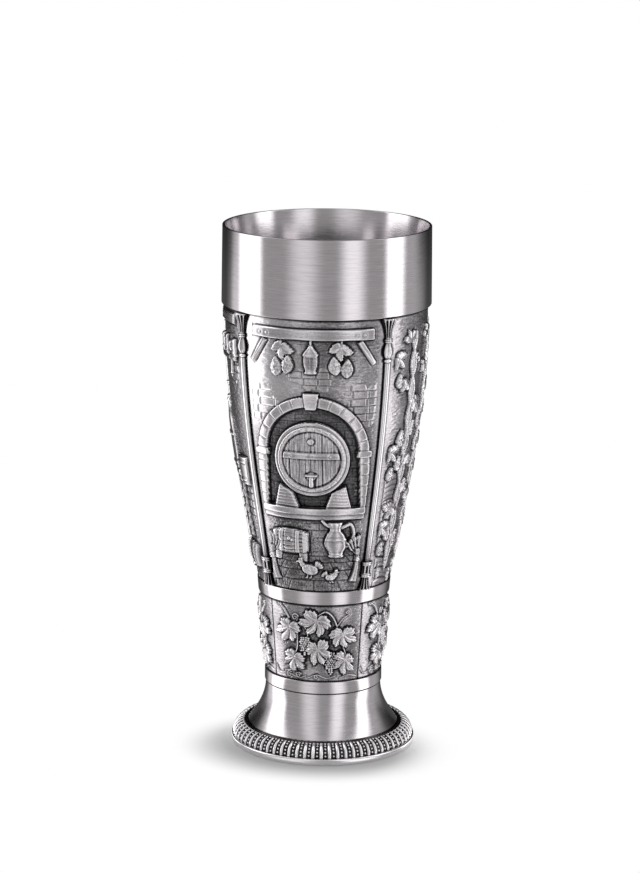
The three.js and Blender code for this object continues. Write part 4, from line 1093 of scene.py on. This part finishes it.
def mill_field(relief):
    """Back: a windmill over a field of sheaves."""
    x, y = relief.x, relief.y
    for level, rise, top in ((41, 2.6, 0.42), (30, -2.2, 0.55)):
        line = level + rise * np.sin(x * 0.12 + level)
        relief.lay(EVERYWHERE, (y - line) * 0.9, top, 0.3)
    row = y * 0.55 + 0.03 * x * (1 - y / 40)
    relief.score(EVERYWHERE, np.where(y < 38, np.sin(row * np.pi) * 1.2, 9), 0.4, 0.22)
    for px, py, size in ((16, 92, 5), (-19, 97, 4.2), (20, 71, 3.6)):
        for beside, over, tall in ((-0.9, 0, 0.4), (0, 0.25, 0.55), (0.9, 0, 0.4)):
            place = px + beside * size, py + over * size
            relief.blob(*place, size * 0.8, size * tall, 0, 0.45, 0.3, 0.12)
    x, y = relief.spot(-0.1, 0.56)
    tower = [(0, 9), (0.5, 7.3), (1, 5.6)]
    vessel(relief, x, y - 20, 40, tower, 1.5, (0.02, 0.34, 0.66, 0.97))
    window, u, v = relief.near(x, y, 26)
    inside = smooth(0.2, -0.6, np.maximum(np.abs(u) - (9 - 3.4 * (v + 20) / 40), np.abs(v) - 20))
    relief.height[window] -= 0.2 * inside * bond(u, v, 2.6, 4.2, (0.2, 0.2))
    for py, wide, tall in ((-15.6, 2.2, 4.2), (2.0, 1.2, 1.9), (-5.4, 1.2, 1.9)):
        low, high = y + py - tall, y + py + tall
        oblong(relief, x - wide - 0.6, low, x + wide + 0.6, high + 0.6, 1.8)
        oblong(relief, x - wide, low, x + wide, high, 0.7, 0.0)
    vessel(relief, x, y + 20, 6.6, [(0, 6.6), (0.12, 6.6), (0.6, 4.6), (1, 0.8)], 1.6, (0.1,))
    oblong(relief, x - 10, y - 8.4, x + 10, y - 7.2, 1.75)
    for k in np.linspace(-9, 9, 9):
        relief.stroke([(x + k, y - 7.2), (x + k, y - 4.4)], 0.28, 0.28, 1.7, 0.1)
    x, y = relief.spot(-0.1, 0.74)
    for quarter in range(4):
        angle = 0.35 + quarter * QUARTER
        window, u, v = relief.near(x, y, 25, angle)
        sail = np.maximum(np.abs(u - 12.6) - 8.6, np.abs(v + 0.6) - 2.5)
        slat = np.maximum(ridge(np.sin(u * np.pi / 1.7), 0.4), ridge(np.abs(v + 0.6) - 1.0, 0.22))
        relief.lay(window, sail, 1.0 + 0.5 * slat)
        relief.lay(window, np.maximum(np.abs(u - 10.6) - 10.6, np.abs(v) - 0.62), 1.9)
    relief.blob(x, y, 1.9, 1.9, 0, 2.3, 0.6)
    for across in (-0.52, 0.06, 0.6):
        sheaf(relief, *relief.spot(across, 0.155), 26, 7, -0.12 * across, 11)
    for px in (-16, -6.5, 8.0, 16.5):
        for lean in (-0.5, -0.1, 0.3):
            relief.stroke([(px, 1.5), (px + lean * 3, 5.5)], 0.4, 0.1, 0.8, 0.12)


def vine(relief):
    """The frieze under the waist: leaves, grapes and tendrils on thin stems."""
    spot = relief.spot
    relief.marks, relief.dotted = 3.6, -1.0
    for line, start, end in (
        ([(-0.8, 0.97), (-0.66, 0.91), (-0.54, 0.8)], 0.24, 0.34),
        ([(-0.36, 0.6), (-0.36, 0.45), (-0.42, 0.34)], 0.3, 0.28),
        ([(0.08, 0.86), (0.24, 0.91), (0.39, 0.83), (0.49, 0.68), (0.54, 0.58)], 0.32, 0.4),
        ([(0.58, 0.5), (0.66, 0.36), (0.62, 0.26)], 0.34, 0.28),
        ([(-0.2, 0.72), (-0.13, 0.62), (-0.18, 0.53)], 0.28, 0.28),
        ([(0.1, 0.42), (0.24, 0.44), (0.34, 0.36)], 0.3, 0.28),
    ):
        relief.stroke([spot(*place) for place in line], start, end, 0.65, 0.22)
    for line in (
        [(-0.46, 0.8), (-0.38, 0.77), (-0.33, 0.83)],
        [(0.47, 0.72), (0.58, 0.81), (0.7, 0.86)],
        [(-0.98, 0.16), (-0.86, 0.07), (-0.6, 0.08), (-0.36, 0.04), (-0.2, 0.07)],
        [(-0.7, 0.1), (-0.5, 0.13), (-0.34, 0.1)],
        [(-0.14, 0.05), (0.06, 0.09), (0.26, 0.05), (0.46, 0.08)],
        [(0.56, 0.05), (0.74, 0.08), (0.96, 0.05)],
    ):
        relief.stroke([spot(*place) for place in line], 0.24, 0.2, 0.4, 0.16)
    for across, up, length in ((-0.19, 0.46, 7.6), (0.345, 0.245, 9.4)):
        grape_bunch(relief, *spot(across, up), length, 2.5)
    for across, up, size, turn, length in (
        (-0.54, 0.66, 5.2, 2.85, 1.06), (0.64, 0.27, 4.3, 3.07, 1.24), (-0.43, 0.28, 4.8, 3.05, 0.98),
        (0.09, 0.41, 4.5, 3.39, 1.42), (0.03, 0.77, 5.6, 2.66, 1.1), (0.59, 0.59, 5.1, 3.27, 1.04),
    ):
        vine_leaf(relief, *spot(across, up), size, turn, length)
    for across, up, size, turn, sense in (
        (-0.33, 0.83, 1.4, 0.2, 1), (-0.74, 0.94, 1.2, -0.6, 1), (0.7, 0.86, 1.0, -1.3, 1),
        (-0.54, 0.1, 1.3, 0.9, 1), (-0.3, 0.09, 1.2, 0.4, 1), (0.06, 0.09, 0.9, 1.2, 1),
    ):
        curl(relief, *spot(across, up), size, turn, sense, 1.4, 0.22, 0.5)


# Pieces.
def collar_profile():
    """Thin at the lip, thicker where it takes the cup and hangs over the panels."""
    rim = SKIRT_RADIUS - COLLAR_SPREAD
    groove = groove_radius(COLLAR_Z)
    sleeve, shoulder = cup_radius(CUP_TOP_Z) + CLEARANCE, CUP_TOP_Z + CLEARANCE
    tuck = COLLAR_Z + TUCK + CLEARANCE
    return [
        (groove, COLLAR_Z), (SKIRT_RADIUS, COLLAR_Z), (rim, RIM_Z), (rim - LIP_WALL, RIM_Z),
        (sleeve - CLEARANCE - CUP_WALL, shoulder), (sleeve, shoulder), (sleeve, tuck), (groove, tuck),
    ]


def cup_profile():
    """The liner from the middle of its underside round to the middle of its floor."""
    z = np.linspace(CUP_FLOOR_Z + CUP_CORNER, CUP_TOP_Z, 70)
    turn = np.linspace(-QUARTER, 0, 9)[:-1]
    foot = cup_radius(CUP_FLOOR_Z + CUP_CORNER)

    def corner(r, z, size):
        return np.stack([r - size * (1 - np.cos(turn)), z + size * (1 + np.sin(turn))], 1)

    out = corner(foot, CUP_FLOOR_Z, CUP_CORNER)
    inner, low = CUP_CORNER - CUP_WALL, CUP_FLOOR_Z + CUP_FLOOR
    inside = corner(foot - CUP_WALL, low, inner)
    wall = np.stack([cup_radius(z), z], 1)
    z_in = np.linspace(low + inner, CUP_TOP_Z, 70)
    lining = np.stack([cup_radius(z_in) - CUP_WALL, z_in], 1)
    return np.vstack([out, wall, lining[::-1], inside[::-1]])


def waist_profile():
    """A plain band whose grooves take the thinned edges of the panels above and below it."""
    low, high = WAIST_Z + TUCK + CLEARANCE, SCENE_Z - TUCK - CLEARANCE
    groove = [(groove_radius(z), z) for z in (WAIST_Z, SCENE_Z, high, low)]
    return [
        groove[0], (float(wall_radius(WAIST_Z)) + BAND_PROUD, WAIST_Z), (BAND_RADIUS, SCENE_Z),
        *groove[1:3], (float(back_radius(high)), high), (float(back_radius(low)), low), groove[3],
    ]


def stem_profile():
    """The lower band, with the ledge that carries the cup."""
    high, ledge = VINE_Z - TUCK - CLEARANCE, STEM_Z + LEDGE_THICKNESS
    bore = float(back_radius(ledge)) - LEDGE_WIDTH
    return [
        (bore, STEM_Z), (STEM_BAND_RADIUS, STEM_Z), (STEM_BAND_RADIUS, VINE_Z),
        (groove_radius(VINE_Z), VINE_Z), (groove_radius(high), high),
        (float(back_radius(high)), high), (float(back_radius(ledge)), ledge), (bore, ledge),
    ]


def flare_profile():
    """The trumpet foot: upright lip, power curve up to the neck, spigot, the same curve inside."""
    top = STEM_Z - NECK_GAP
    z = np.linspace(LIP_Z, top, 60)
    slope = -np.gradient(flare_radius(z), z)
    length = np.hypot(1, slope)
    inner = np.stack([flare_radius(z) - FLARE_WALL / length, z - FLARE_WALL * slope / length], 1)
    edge = LIP_Z - FLARE_EDGE
    inner = inner[(inner[:, 1] > edge + CLEARANCE / 2) & (inner[:, 1] < top - 2 * FLARE_WALL)]
    spigot = float(back_radius(STEM_Z + LEDGE_THICKNESS)) - LEDGE_WIDTH - CLEARANCE
    return np.vstack([
        [(inner[0, 0], edge), (LIP_RADIUS, edge)], np.stack([flare_radius(z), z], 1),
        [(spigot, top), (spigot, top + SPIGOT_HEIGHT), (spigot - SPIGOT_WALL, top + SPIGOT_HEIGHT)],
        [(spigot - SPIGOT_WALL, top - FLARE_WALL), (NECK_RADIUS - FLARE_WALL, top - FLARE_WALL)],
        inner[::-1],
    ])


def quarter_round(turn, sink):
    """Radius and height on the foot ring's quarter-round at a turn from level to upright, sunk along
    its normal."""
    crest = LIP_RADIUS + CLEARANCE + RING_CREST
    across, up = FOOT_RADIUS - PLAIN_RIM_STEP - crest, LIP_Z - PLAIN_RIM_HEIGHT
    normal = np.stack([np.cos(turn) / across, np.sin(turn) / up])
    normal = normal / np.linalg.norm(normal, axis=0)
    r, z = crest + across * np.cos(turn), PLAIN_RIM_HEIGHT + up * np.sin(turn)
    return r - sink * normal[0], z - sink * normal[1]


def foot_ring(context):
    """A ribbed quarter-round over a plain rim: the ground is sunk, and half-round ribs stand on it."""
    sizes = context.scene.beaker_sizes
    steps, spans, sink = 14, 34, 0.55
    columns = steps * sizes.ribs
    angle = np.arange(columns) / columns * TAU
    pitch = np.abs((np.arange(columns) / steps) % 1 - 0.5) * 2
    rib = bulge(pitch, 0.34)
    inner = LIP_RADIUS + CLEARANCE
    bore, seat = inner - SEAT_WIDTH, LIP_Z - FLARE_EDGE - CLEARANCE
    edge = 2 * sizes.edge / MM
    rim = [(bore, 0), (FOOT_RADIUS, 0), (FOOT_RADIUS, PLAIN_RIM_HEIGHT), (bore, PLAIN_RIM_HEIGHT)]
    plain = fillet(rim, edge)[5:-5]  # without the two corners at the bore
    turn = np.linspace(0, QUARTER, spans)
    ends = smooth(0, 0.06, turn) * smooth(QUARTER - 0.06, QUARTER - 0.24, turn)
    ribbed = rib[None, :] * ends[:, None]
    r, z = quarter_round(turn[:, None], sink * (1 - ribbed))
    low = np.array([(bore, 0), *plain.tolist()])
    high = np.array([(inner, LIP_Z - sink), (inner, seat), (bore, seat)])
    radius = np.vstack([spread(low[:, 0], columns), r, spread(high[:, 0], columns)])
    height = np.vstack([spread(low[:, 1], columns), z, spread(high[:, 1], columns)])
    points = round_axis(radius, angle, height)
    face = 0.02 + 0.98 * smooth(0.1, 0.75, ribbed)
    worn = np.vstack([np.full((len(low), columns), 0.92), face, np.full((len(high), columns), 0.02)])
    faces = grid_faces(len(radius), columns, True, True)
    add_piece("foot_ring_ribbed", points, faces, cast_pewter(context), ("foot_ring",),
              np.radians(60), worn)


def foot_beads(context):
    """Rows of beads between the ribs: one small ball, set out over every pitch and step."""
    sizes = context.scene.beaker_sizes
    around, rings, size = 8, 6, sizes.bead_radius / MM
    polar = np.linspace(0, np.pi, rings)[1:-1]
    turn = np.arange(around) / around * TAU
    x, y = np.outer(np.sin(polar), np.cos(turn)), np.outer(np.sin(polar), np.sin(turn))
    ring = np.stack([x, y, spread(np.cos(polar), around)], -1).reshape(-1, 3)
    ball = size * np.vstack([ring, [(0, 0, 1), (0, 0, -1)]])
    quads = grid_faces(rings - 2, around, False, True)[:, ::-1]
    k = np.arange(around)
    last = (rings - 3) * around
    tops = np.stack([k, (k + 1) % around, np.full(around, len(ring))], 1)
    ends = np.stack([last + (k + 1) % around, last + k, np.full(around, len(ring) + 1)], 1)
    up = np.linspace(0.2, 1.36, sizes.beads)
    pitch = np.arange(sizes.ribs) / sizes.ribs * TAU
    r, z = quarter_round(up, 0.66)
    centre = round_axis(r[None], pitch[:, None], spread(z, sizes.ribs).T)
    points = (centre.reshape(-1, 1, 3) + ball[None]).reshape(-1, 3)
    shift = (np.arange(centre.size // 3) * len(ball))[:, None, None]
    sides, poles = quads[None] + shift, np.vstack([tops, ends])[None] + shift
    faces = [*sides.reshape(-1, 4).tolist(), *poles.reshape(-1, 3).tolist()]
    worn = np.full(len(points), 0.86)
    add_piece("foot_ring_beads", points, faces, cast_pewter(context), (), None, worn)


def two_rings(neck):
    """Half widths up a pair of rings round a neck, by the share of their height."""
    return lambda t: neck + 0.7 * np.abs(np.sin(TAU * t)) ** 0.7


COLUMN_STATIONS = (
    # Name, height in millimetres, half width by the share of that, depth and count of flutes, wear.
    ("skirt", 5.0, lambda t: 1.5 + 1.25 * (1 - t) ** 1.8, 0.26, 5, 0.72),
    ("ring", 1.5, two_rings(1.75), 0, 1, 0.95),
    ("plinth", 3.4, lambda t: 2.1 + 0.0 * t, 0.24, 4, 0.85),
    ("ring", 1.5, two_rings(1.75), 0, 1, 0.95),
    ("shaft", None, lambda t: 1.25 + 0.15 * t, 0, 1, 0.86),
    ("ring", 1.5, lambda t: 1.3 + 0.6 * np.sin(np.pi * t), 0, 1, 0.95),
    ("bulb", 6.2, lambda t: 1.15 + 1.2 * np.sin(np.pi * t ** 0.8), 0.1, 3, 0.92),
    ("ring", 1.5, two_rings(1.2), 0, 1, 0.95),
    ("capital", 7.8, lambda t: np.minimum(1.35 + 2.4 * t ** 2.0, 3.3), 0.26, 6, 0.82),
)


def column_line():
    """Heights up a colonnette, with the half width, the depth and count of flutes and the wear there."""
    low, high = SCENE_Z + CLEARANCE, COLLAR_Z - CLEARANCE
    shaft = high - low - sum(station[1] for station in COLUMN_STATIONS if station[1])
    parts, base = [], low
    for name, tall, width, depth, flutes, wear in COLUMN_STATIONS:
        tall = tall or shaft
        share = np.linspace(0, 1, 70 if name == "shaft" else 7 + int(7 * tall))
        ends = smooth(0, 0.12, share) * smooth(1, 0.88, share)
        dark = 0.75 * (1 - ends) if name == "ring" else 0
        z, even = base + tall * np.clip(share, 0.004, 0.996), np.ones_like(share)
        parts.append([z, width(share), depth * ends, flutes * even, (wear - dark) * even])
        base += tall
    return np.concatenate(parts, 1)


def colonnette(context, corner, angle):
    """A half-round column over a seam: sections whose half width follows the stations, with a flat back
    just clear of the wall; flutes are cut into the capital, the bulb, the plinth and the skirt."""
    z, half, cut, flutes, wear = (part[:, None] for part in column_line())
    arc = np.linspace(-QUARTER, QUARTER, context.scene.beaker_sizes.column_facets + 1)[None]
    groove = 0.5 - 0.5 * np.cos(2 * flutes * arc)
    body = half * (1 - cut * groove)
    out = wall_radius(z) + CLEARANCE + COLUMN_DEPTH * body * np.cos(arc)
    side = body * np.sin(arc)
    x, y = out * np.sin(angle) + side * np.cos(angle), side * np.sin(angle) - out * np.cos(angle)
    points = np.stack([x, y, np.repeat(z, arc.size, 1)], -1)
    hollow = blur(half, 7, 0) - half
    # Flutes and narrow necks hold oxide; the last factor is painted shade, darkening both flanks of the
    # half round as a round column shades off at its sides.
    worn = np.clip(wear - 4.6 * cut * groove ** 0.7 - 1.3 * hollow, 0, 1) * smooth(0.02, 0.72, np.cos(arc))
    rows, columns = len(z), arc.size
    faces = grid_faces(rows, columns, False, True)
    add_piece(f"colonnette_{corner}_turned", points, faces, cast_pewter(context),
              (f"colonnette_{corner}",), np.radians(55), worn, end_caps(rows, columns))


def relief_panel(context, node, angle, low, high, grid, border, draw, covered):
    """A cast quarter: the ground's radius plus the drawn relief on its face, thinned edges above and
    below, and a plain back, all as one closed profile carried round the quarter, with flat ends at the
    seams. The ground darkens towards what covers the seam and along its upper and lower edges: painted
    shade beside the colonnettes and under the collar and bands, and a dark joint where two vine panels
    meet."""
    rows, columns = grid
    up = np.linspace(CLEARANCE, high - low - CLEARANCE, rows)
    relief = Relief(wall_radius(low + up), up, high - low, columns)
    draw(relief)
    relief.hatch(len(node))
    seam = relief.half[:, None] * (1 - np.abs(relief.share))
    level = np.minimum(up, up[-1] - up)[:, None]
    keep = smooth(border, border + 0.8, seam) * smooth(CLEARANCE, CLEARANCE + 0.6, level + CLEARANCE)
    # Painted shade: a darker tone beside the colonnette over a scene panel's seam (a dark joint on the vine
    # panels), and along the top and bottom edges under the collar and bands.
    relief.tone -= 0.36 * smooth(0.85, 0.0, seam - covered(low + up)[:, None])
    relief.tone -= 0.42 * smooth(1.0, 0.2, level)
    relief.height *= keep * context.scene.beaker_sizes.relief / MM / BOLD_RELIEF
    ground = wall_radius(low + up)[:, None]
    room = SKIRT_RADIUS - UNDER_COLLAR - ground
    held = room * np.tanh(np.maximum(relief.height, 0) / room)
    relief.height = np.where(relief.height > 0, held, relief.height)
    back = np.linspace(high + TUCK, low - TUCK, 14)
    first = np.array([(tongue_radius(low - TUCK), low - TUCK), (tongue_radius(low), low + up[0])])
    last = [(tongue_radius(high), low + up[-1]), (tongue_radius(high + TUCK), high + TUCK)]
    rest = np.array(last + list(zip(back_radius(back).tolist(), back.tolist())))
    radius = np.vstack([spread(first[:, 0], columns), ground + relief.height, spread(rest[:, 0], columns)])
    z = spread(np.concatenate([first[:, 1], low + up, rest[:, 1]]), columns)
    turn = angle + relief.share * (np.pi / 4 - 0.5 * CLEARANCE / radius)
    points = round_axis(radius, turn, z)
    worn = np.vstack([np.full((2, columns), 0.3), relief.wear(), np.full((len(rest), columns), 0.3)])
    total = len(radius)
    ring = np.arange(total) * columns
    caps = [ring.tolist(), (ring + columns - 1)[::-1].tolist()]
    face_row = np.repeat(np.arange(total), columns - 1)
    flat = np.concatenate([(face_row < 2) | (face_row > rows), [True, True]])
    add_piece(f"{node}_relief", points, grid_faces(total, columns, True, False), cast_pewter(context),
              (node,), None, worn, caps, flat)


# Studio: the camera's tip, roll and swing round the axis, and its place in metres before the swing.
CAMERA_TIP, CAMERA_ROLL, CAMERA_SWING = np.radians((12.924, 0.515, 8.75))
CAMERA_PLACE = (-0.00206, -1.1303, 0.38125)


def front_view():
    """The camera's place and turn: along the axis' upright plane, tipped down and rolled a little, then
    carried round the axis so that the front panel stands to the left of the middle."""
    tip, roll = CAMERA_TIP, CAMERA_ROLL
    right, up = np.array([1, 0, 0]), np.array([0, np.sin(tip), np.cos(tip)])
    back = np.array([0, -np.cos(tip), np.sin(tip)])
    across, above = np.cos(roll) * right + np.sin(roll) * up, np.cos(roll) * up - np.sin(roll) * right
    place = Matrix(np.stack([across, above, back, CAMERA_PLACE], 1).tolist()).to_4x4()
    return Matrix.Rotation(CAMERA_SWING, 4, "Z") @ place


def add_camera(context):
    """The camera at the photograph's angle."""
    lens = bpy.data.cameras.new("front_camera")
    lens.lens, lens.sensor_width = context.scene.beaker_studio.lens, 36
    lens.clip_start, lens.clip_end = 0.01, 50
    camera = bpy.data.objects.new("front_camera", lens)
    camera.matrix_world = front_view()
    context.scene.collection.objects.link(camera)
    context.scene.camera = camera


def stage_sheet(name, points, wrap, material):
    """A stage surface from a grid of points in metres."""
    rows, columns = points.shape[:2]
    mesh = bpy.data.meshes.new(name)
    mesh.from_pydata(points.reshape(-1, 3), [], grid_faces(rows, columns, False, wrap).tolist())
    mesh.shade_smooth()
    mesh.materials.append(material)
    sheet = bpy.data.objects.new(name, mesh)
    bpy.context.scene.collection.objects.link(sheet)
    return sheet


def seen_directly(add):
    """One for rays from the camera, off metal or through glass, nothing for light on matt surfaces."""
    path = add("ShaderNodeLightPath").outputs
    first = reckon(add, "MAXIMUM", path["Is Camera Ray"], path["Is Glossy Ray"])
    return reckon(add, "MAXIMUM", first, path["Is Transmission Ray"])


def add_floor(context):
    """A pale round floor that takes the shadow near the beaker and fades to plain white further off."""
    studio = context.scene.beaker_studio
    material, tree, shader, output, add = node_tree("studio_floor")
    shader.inputs["Base Color"].default_value = (*studio.backdrop, 1)
    shader.inputs["Roughness"].default_value = 0.9
    shader.inputs["Specular IOR Level"].default_value = 0.0
    glow = add("ShaderNodeEmission", {"Color": (1, 1, 1, 1), "Strength": 1.0})
    place = add("ShaderNodeTexCoord").outputs["Object"]
    beside = add("ShaderNodeVectorMath", {0: place, 1: (0.0, 0.012, 0.0)}, operation="ADD").outputs[0]
    oval = add("ShaderNodeVectorMath", {0: beside, 1: (1.0, 1.3, 1.0)}, operation="MULTIPLY").outputs[0]
    away = add("ShaderNodeVectorMath", {0: oval}, operation="LENGTH").outputs["Value"]
    fade = {"Value": away, "From Min": 0.027, "From Max": 0.059}
    far = add("ShaderNodeMapRange", fade, interpolation_type="SMOOTHSTEP").outputs[0]
    share = reckon(add, "MULTIPLY", far, seen_directly(add))
    mixed = add("ShaderNodeMixShader", {0: share, 1: shader.outputs[0], 2: glow.outputs[0]})
    tree.links.new(mixed.outputs[0], output.inputs[0])
    r, turn = np.meshgrid(np.linspace(0.0, 1, 24) ** 2 * 6 + 0.002, np.arange(96) / 96 * TAU, indexing="ij")
    points = np.stack([r * np.cos(turn), r * np.sin(turn), np.zeros_like(r)], -1)
    stage_sheet("studio_floor", points, True, material)


STRIPS = (
    # Middle and half width in degrees from the camera's side, softness of the edges, and brightness.
    (-114, 10, 6, 0.9),
    (-92, 17, 4, 2.1),
    (-25, 13, 11, 0.95),
    (28, 11, 8, 1.3),
    (80.5, 13.5, 4, 2.1),
    (103, 12, 6, 0.52),
)
TENT_LINE = (
    # Radius and height in metres, from the floor beside the foot round to the crown.
    (0.0385, 0.0003), (0.09, 0.002), (0.5, 0.004), (1.0, 0.02),
    (1.15, 0.4), (1.0, 1.0), (0.5, 1.5), (0.002, 1.6),
)


def tent_glow(turn, share):
    """Brightness of the light tent: grey towards the camera, with upright strips; its floor darkens far
    round the back, and its wall sooner."""
    degrees = (np.degrees(turn) + 180) % 360 - 180
    turned_away = np.abs(degrees)
    glow = 0.42 - 0.34 * smooth(116, 144, turned_away)
    for middle, half, soft, bright in STRIPS:
        away = np.abs((degrees - middle + 180) % 360 - 180)
        strip = smooth(half + soft, half - soft, away)
        glow = glow * (1 - strip) + bright * strip
    glow = glow * (1 - 0.75 * smooth(104, 128, turned_away) * smooth(0.4, 0.48, share))
    return glow + (0.75 - glow) * smooth(0.74, 0.97, share)


def add_tent():
    """A light tent that only reflections see: a bowl round the beaker, its glow held on its points."""
    material, tree, _, output, add = node_tree("studio_tent")
    glow = add("ShaderNodeAttribute", attribute_name="glow").outputs["Fac"]
    emission = add("ShaderNodeEmission", {"Color": (1.0, 0.985, 0.995, 1), "Strength": glow})
    tree.links.new(emission.outputs[0], output.inputs[0])
    share, turn = np.meshgrid(np.linspace(0, 1, 60), np.arange(240) / 240 * TAU, indexing="ij")
    even = np.linspace(0, 1, len(TENT_LINE))
    r, z = (np.interp(share, even, stops) for stops in zip(*TENT_LINE))
    points = round_axis(r, turn + CAMERA_SWING, z)
    tent = stage_sheet("studio_tent", points, True, material)
    point_values(tent.data, "glow", tent_glow(turn, share))
    tent.visible_camera = tent.visible_diffuse = tent.visible_shadow = tent.visible_transmission = False
    tent.visible_volume_scatter = False


def add_lamps(context):
    """A small lamp overhead and a wide weak one at the front left, for the floor and its shadow."""
    studio = context.scene.beaker_studio
    for name, place, size, power in (
        ("key_lamp", (0.035, 0.085, 1.1), 0.12, studio.key),
        ("fill_lamp", (-0.5, -0.7, 1.0), 1.2, studio.fill),
    ):
        lamp = bpy.data.lights.new(name, "AREA")
        lamp.shape, lamp.size, lamp.energy = "DISK", size, power
        carrier = bpy.data.objects.new(name, lamp)
        aim = Vector((0, 0, 0.08)) - Vector(place)
        carrier.matrix_world = Matrix.Translation(place) @ aim.to_track_quat("-Z", "Y").to_matrix().to_4x4()
        context.scene.collection.objects.link(carrier)
        carrier.visible_glossy = False


def add_world(context):
    """White where it is seen directly, a soft grey as light."""
    world = bpy.data.worlds.new("studio_world")
    world.use_nodes = True
    add = node_adder(world.node_tree)
    strength = share_map(add, seen_directly(add), 0.32, 1.0)
    background = add("ShaderNodeBackground", {"Color": (1, 1, 1, 1), "Strength": strength})
    add("ShaderNodeOutputWorld", {0: background.outputs[0]})
    context.scene.world = world


# Operators.
class BEAKER_OT_collar(bpy.types.Operator):
    """Turns the plain lip collar"""

    bl_idname = "beaker.collar"
    bl_label = "Lip collar"

    def execute(self, context):
        lip = turned_pewter(context, "turned_pewter_lip", deep=LINER_SATIN)
        turned_piece(context, "lip_collar_spun", collar_profile(), "lip_collar", COLLAR_COLUMNS, lip)
        return {"FINISHED"}


class BEAKER_OT_cup(bpy.types.Operator):
    """Spins the liner cup that holds the drink"""

    bl_idname = "beaker.cup"
    bl_label = "Liner cup"

    def execute(self, context):
        profile = cup_profile()
        rows, points = len(profile), turned(profile, CUP_COLUMNS)[0]
        faces = grid_faces(rows, CUP_COLUMNS, False, True)
        satin = turned_pewter(context, "turned_pewter_satin", LINER_SATIN)
        add_piece("inner_cup_spun", points, faces, satin, ("inner_cup",), TURNED_CREASE,
                  caps=end_caps(rows, CUP_COLUMNS))
        return {"FINISHED"}


class BEAKER_OT_scene_panels(bpy.types.Operator):
    """Casts the four tall relief panels"""

    bl_idname = "beaker.scene_panels"
    bl_label = "Scene panels"

    def execute(self, context):
        line = column_line()

        def column(z):
            return np.interp(z, line[0], line[1])

        for k, (side, draw) in enumerate(zip(SIDES, (cellar, hop_garden, mill_field, brewhouse))):
            relief_panel(context, f"scene_panel_{side}", k * QUARTER, SCENE_Z, COLLAR_Z, SCENE_GRID,
                         SCENE_BORDER, draw, column)
        return {"FINISHED"}


class BEAKER_OT_vine_panels(bpy.types.Operator):
    """Casts the four panels of the vine frieze"""

    bl_idname = "beaker.vine_panels"
    bl_label = "Vine panels"

    def execute(self, context):
        for k, side in enumerate(SIDES):
            relief_panel(context, f"vine_panel_{side}", k * QUARTER, VINE_Z, WAIST_Z, VINE_GRID,
                         VINE_BORDER, vine, lambda z: 0 * z - 0.3)
        return {"FINISHED"}


class BEAKER_OT_colonnettes(bpy.types.Operator):
    """Sets a colonnette over each seam between the scene panels"""

    bl_idname = "beaker.colonnettes"
    bl_label = "Colonnettes"

    def execute(self, context):
        for k, corner in enumerate(CORNERS):
            colonnette(context, corner, (k + 0.5) * QUARTER)
        return {"FINISHED"}


class BEAKER_OT_bands(bpy.types.Operator):
    """Turns the plain bands above and below the vine frieze"""

    bl_idname = "beaker.bands"
    bl_label = "Bands"

    def execute(self, context):
        pewter = turned_pewter(context)
        turned_piece(context, "waist_band_turned", waist_profile(), "waist_band", BAND_COLUMNS, pewter)
        turned_piece(context, "stem_band_turned", stem_profile(), "stem_band", BAND_COLUMNS, pewter)
        return {"FINISHED"}


class BEAKER_OT_foot(bpy.types.Operator):
    """Spins the trumpet foot and casts its ribbed and beaded ring"""

    bl_idname = "beaker.foot"
    bl_label = "Foot"

    def execute(self, context):
        points, faces = turned(flare_profile(), FLARE_COLUMNS)
        add_piece("foot_flare_spun", points, faces, turned_pewter(context),
                  ("foot_flare",), TURNED_CREASE)
        foot_ring(context)
        foot_beads(context)
        return {"FINISHED"}


class BEAKER_OT_studio(bpy.types.Operator):
    """Sets up the camera, floor, light tent, lamps and world"""

    bl_idname = "beaker.studio"
    bl_label = "Studio"

    def execute(self, context):
        context.scene.view_settings.view_transform = "Standard"
        add_camera(context)
        add_floor(context)
        add_tent()
        add_lamps(context)
        add_world(context)
        return {"FINISHED"}


OPERATORS = (
    BEAKER_OT_collar, BEAKER_OT_cup, BEAKER_OT_scene_panels, BEAKER_OT_vine_panels, BEAKER_OT_colonnettes,
    BEAKER_OT_bands, BEAKER_OT_foot, BEAKER_OT_studio,
)
GROUPS = {"beaker_sizes": BeakerSizes, "beaker_finish": BeakerFinish, "beaker_studio": BeakerStudio}


class BEAKER_PT_sidebar(bpy.types.Panel):
    """Lists the beaker's sizes, finishes and pieces"""

    bl_idname = "BEAKER_PT_sidebar"
    bl_label = "Beaker"
    bl_space_type = "VIEW_3D"
    bl_region_type = "UI"
    bl_category = "Beaker"

    def draw(self, context):
        for group in GROUPS:
            values = getattr(context.scene, group)
            for key in values.__annotations__:
                self.layout.prop(values, key)
        for operator in OPERATORS:
            self.layout.operator(operator.bl_idname)


def register():
    for item in (*GROUPS.values(), *OPERATORS, BEAKER_PT_sidebar):
        bpy.utils.register_class(item)
    for name, group in GROUPS.items():
        setattr(bpy.types.Scene, name, bpy.props.PointerProperty(type=group))


def unregister():
    for name in GROUPS:
        delattr(bpy.types.Scene, name)
    for item in reversed((*GROUPS.values(), *OPERATORS, BEAKER_PT_sidebar)):
        bpy.utils.unregister_class(item)


def main():
    """Registers the add-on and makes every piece."""
    register()
    for operator in OPERATORS:
        family, name = operator.bl_idname.split(".")
        getattr(getattr(bpy.ops, family), name)()


if __name__ == "__main__":
    main()
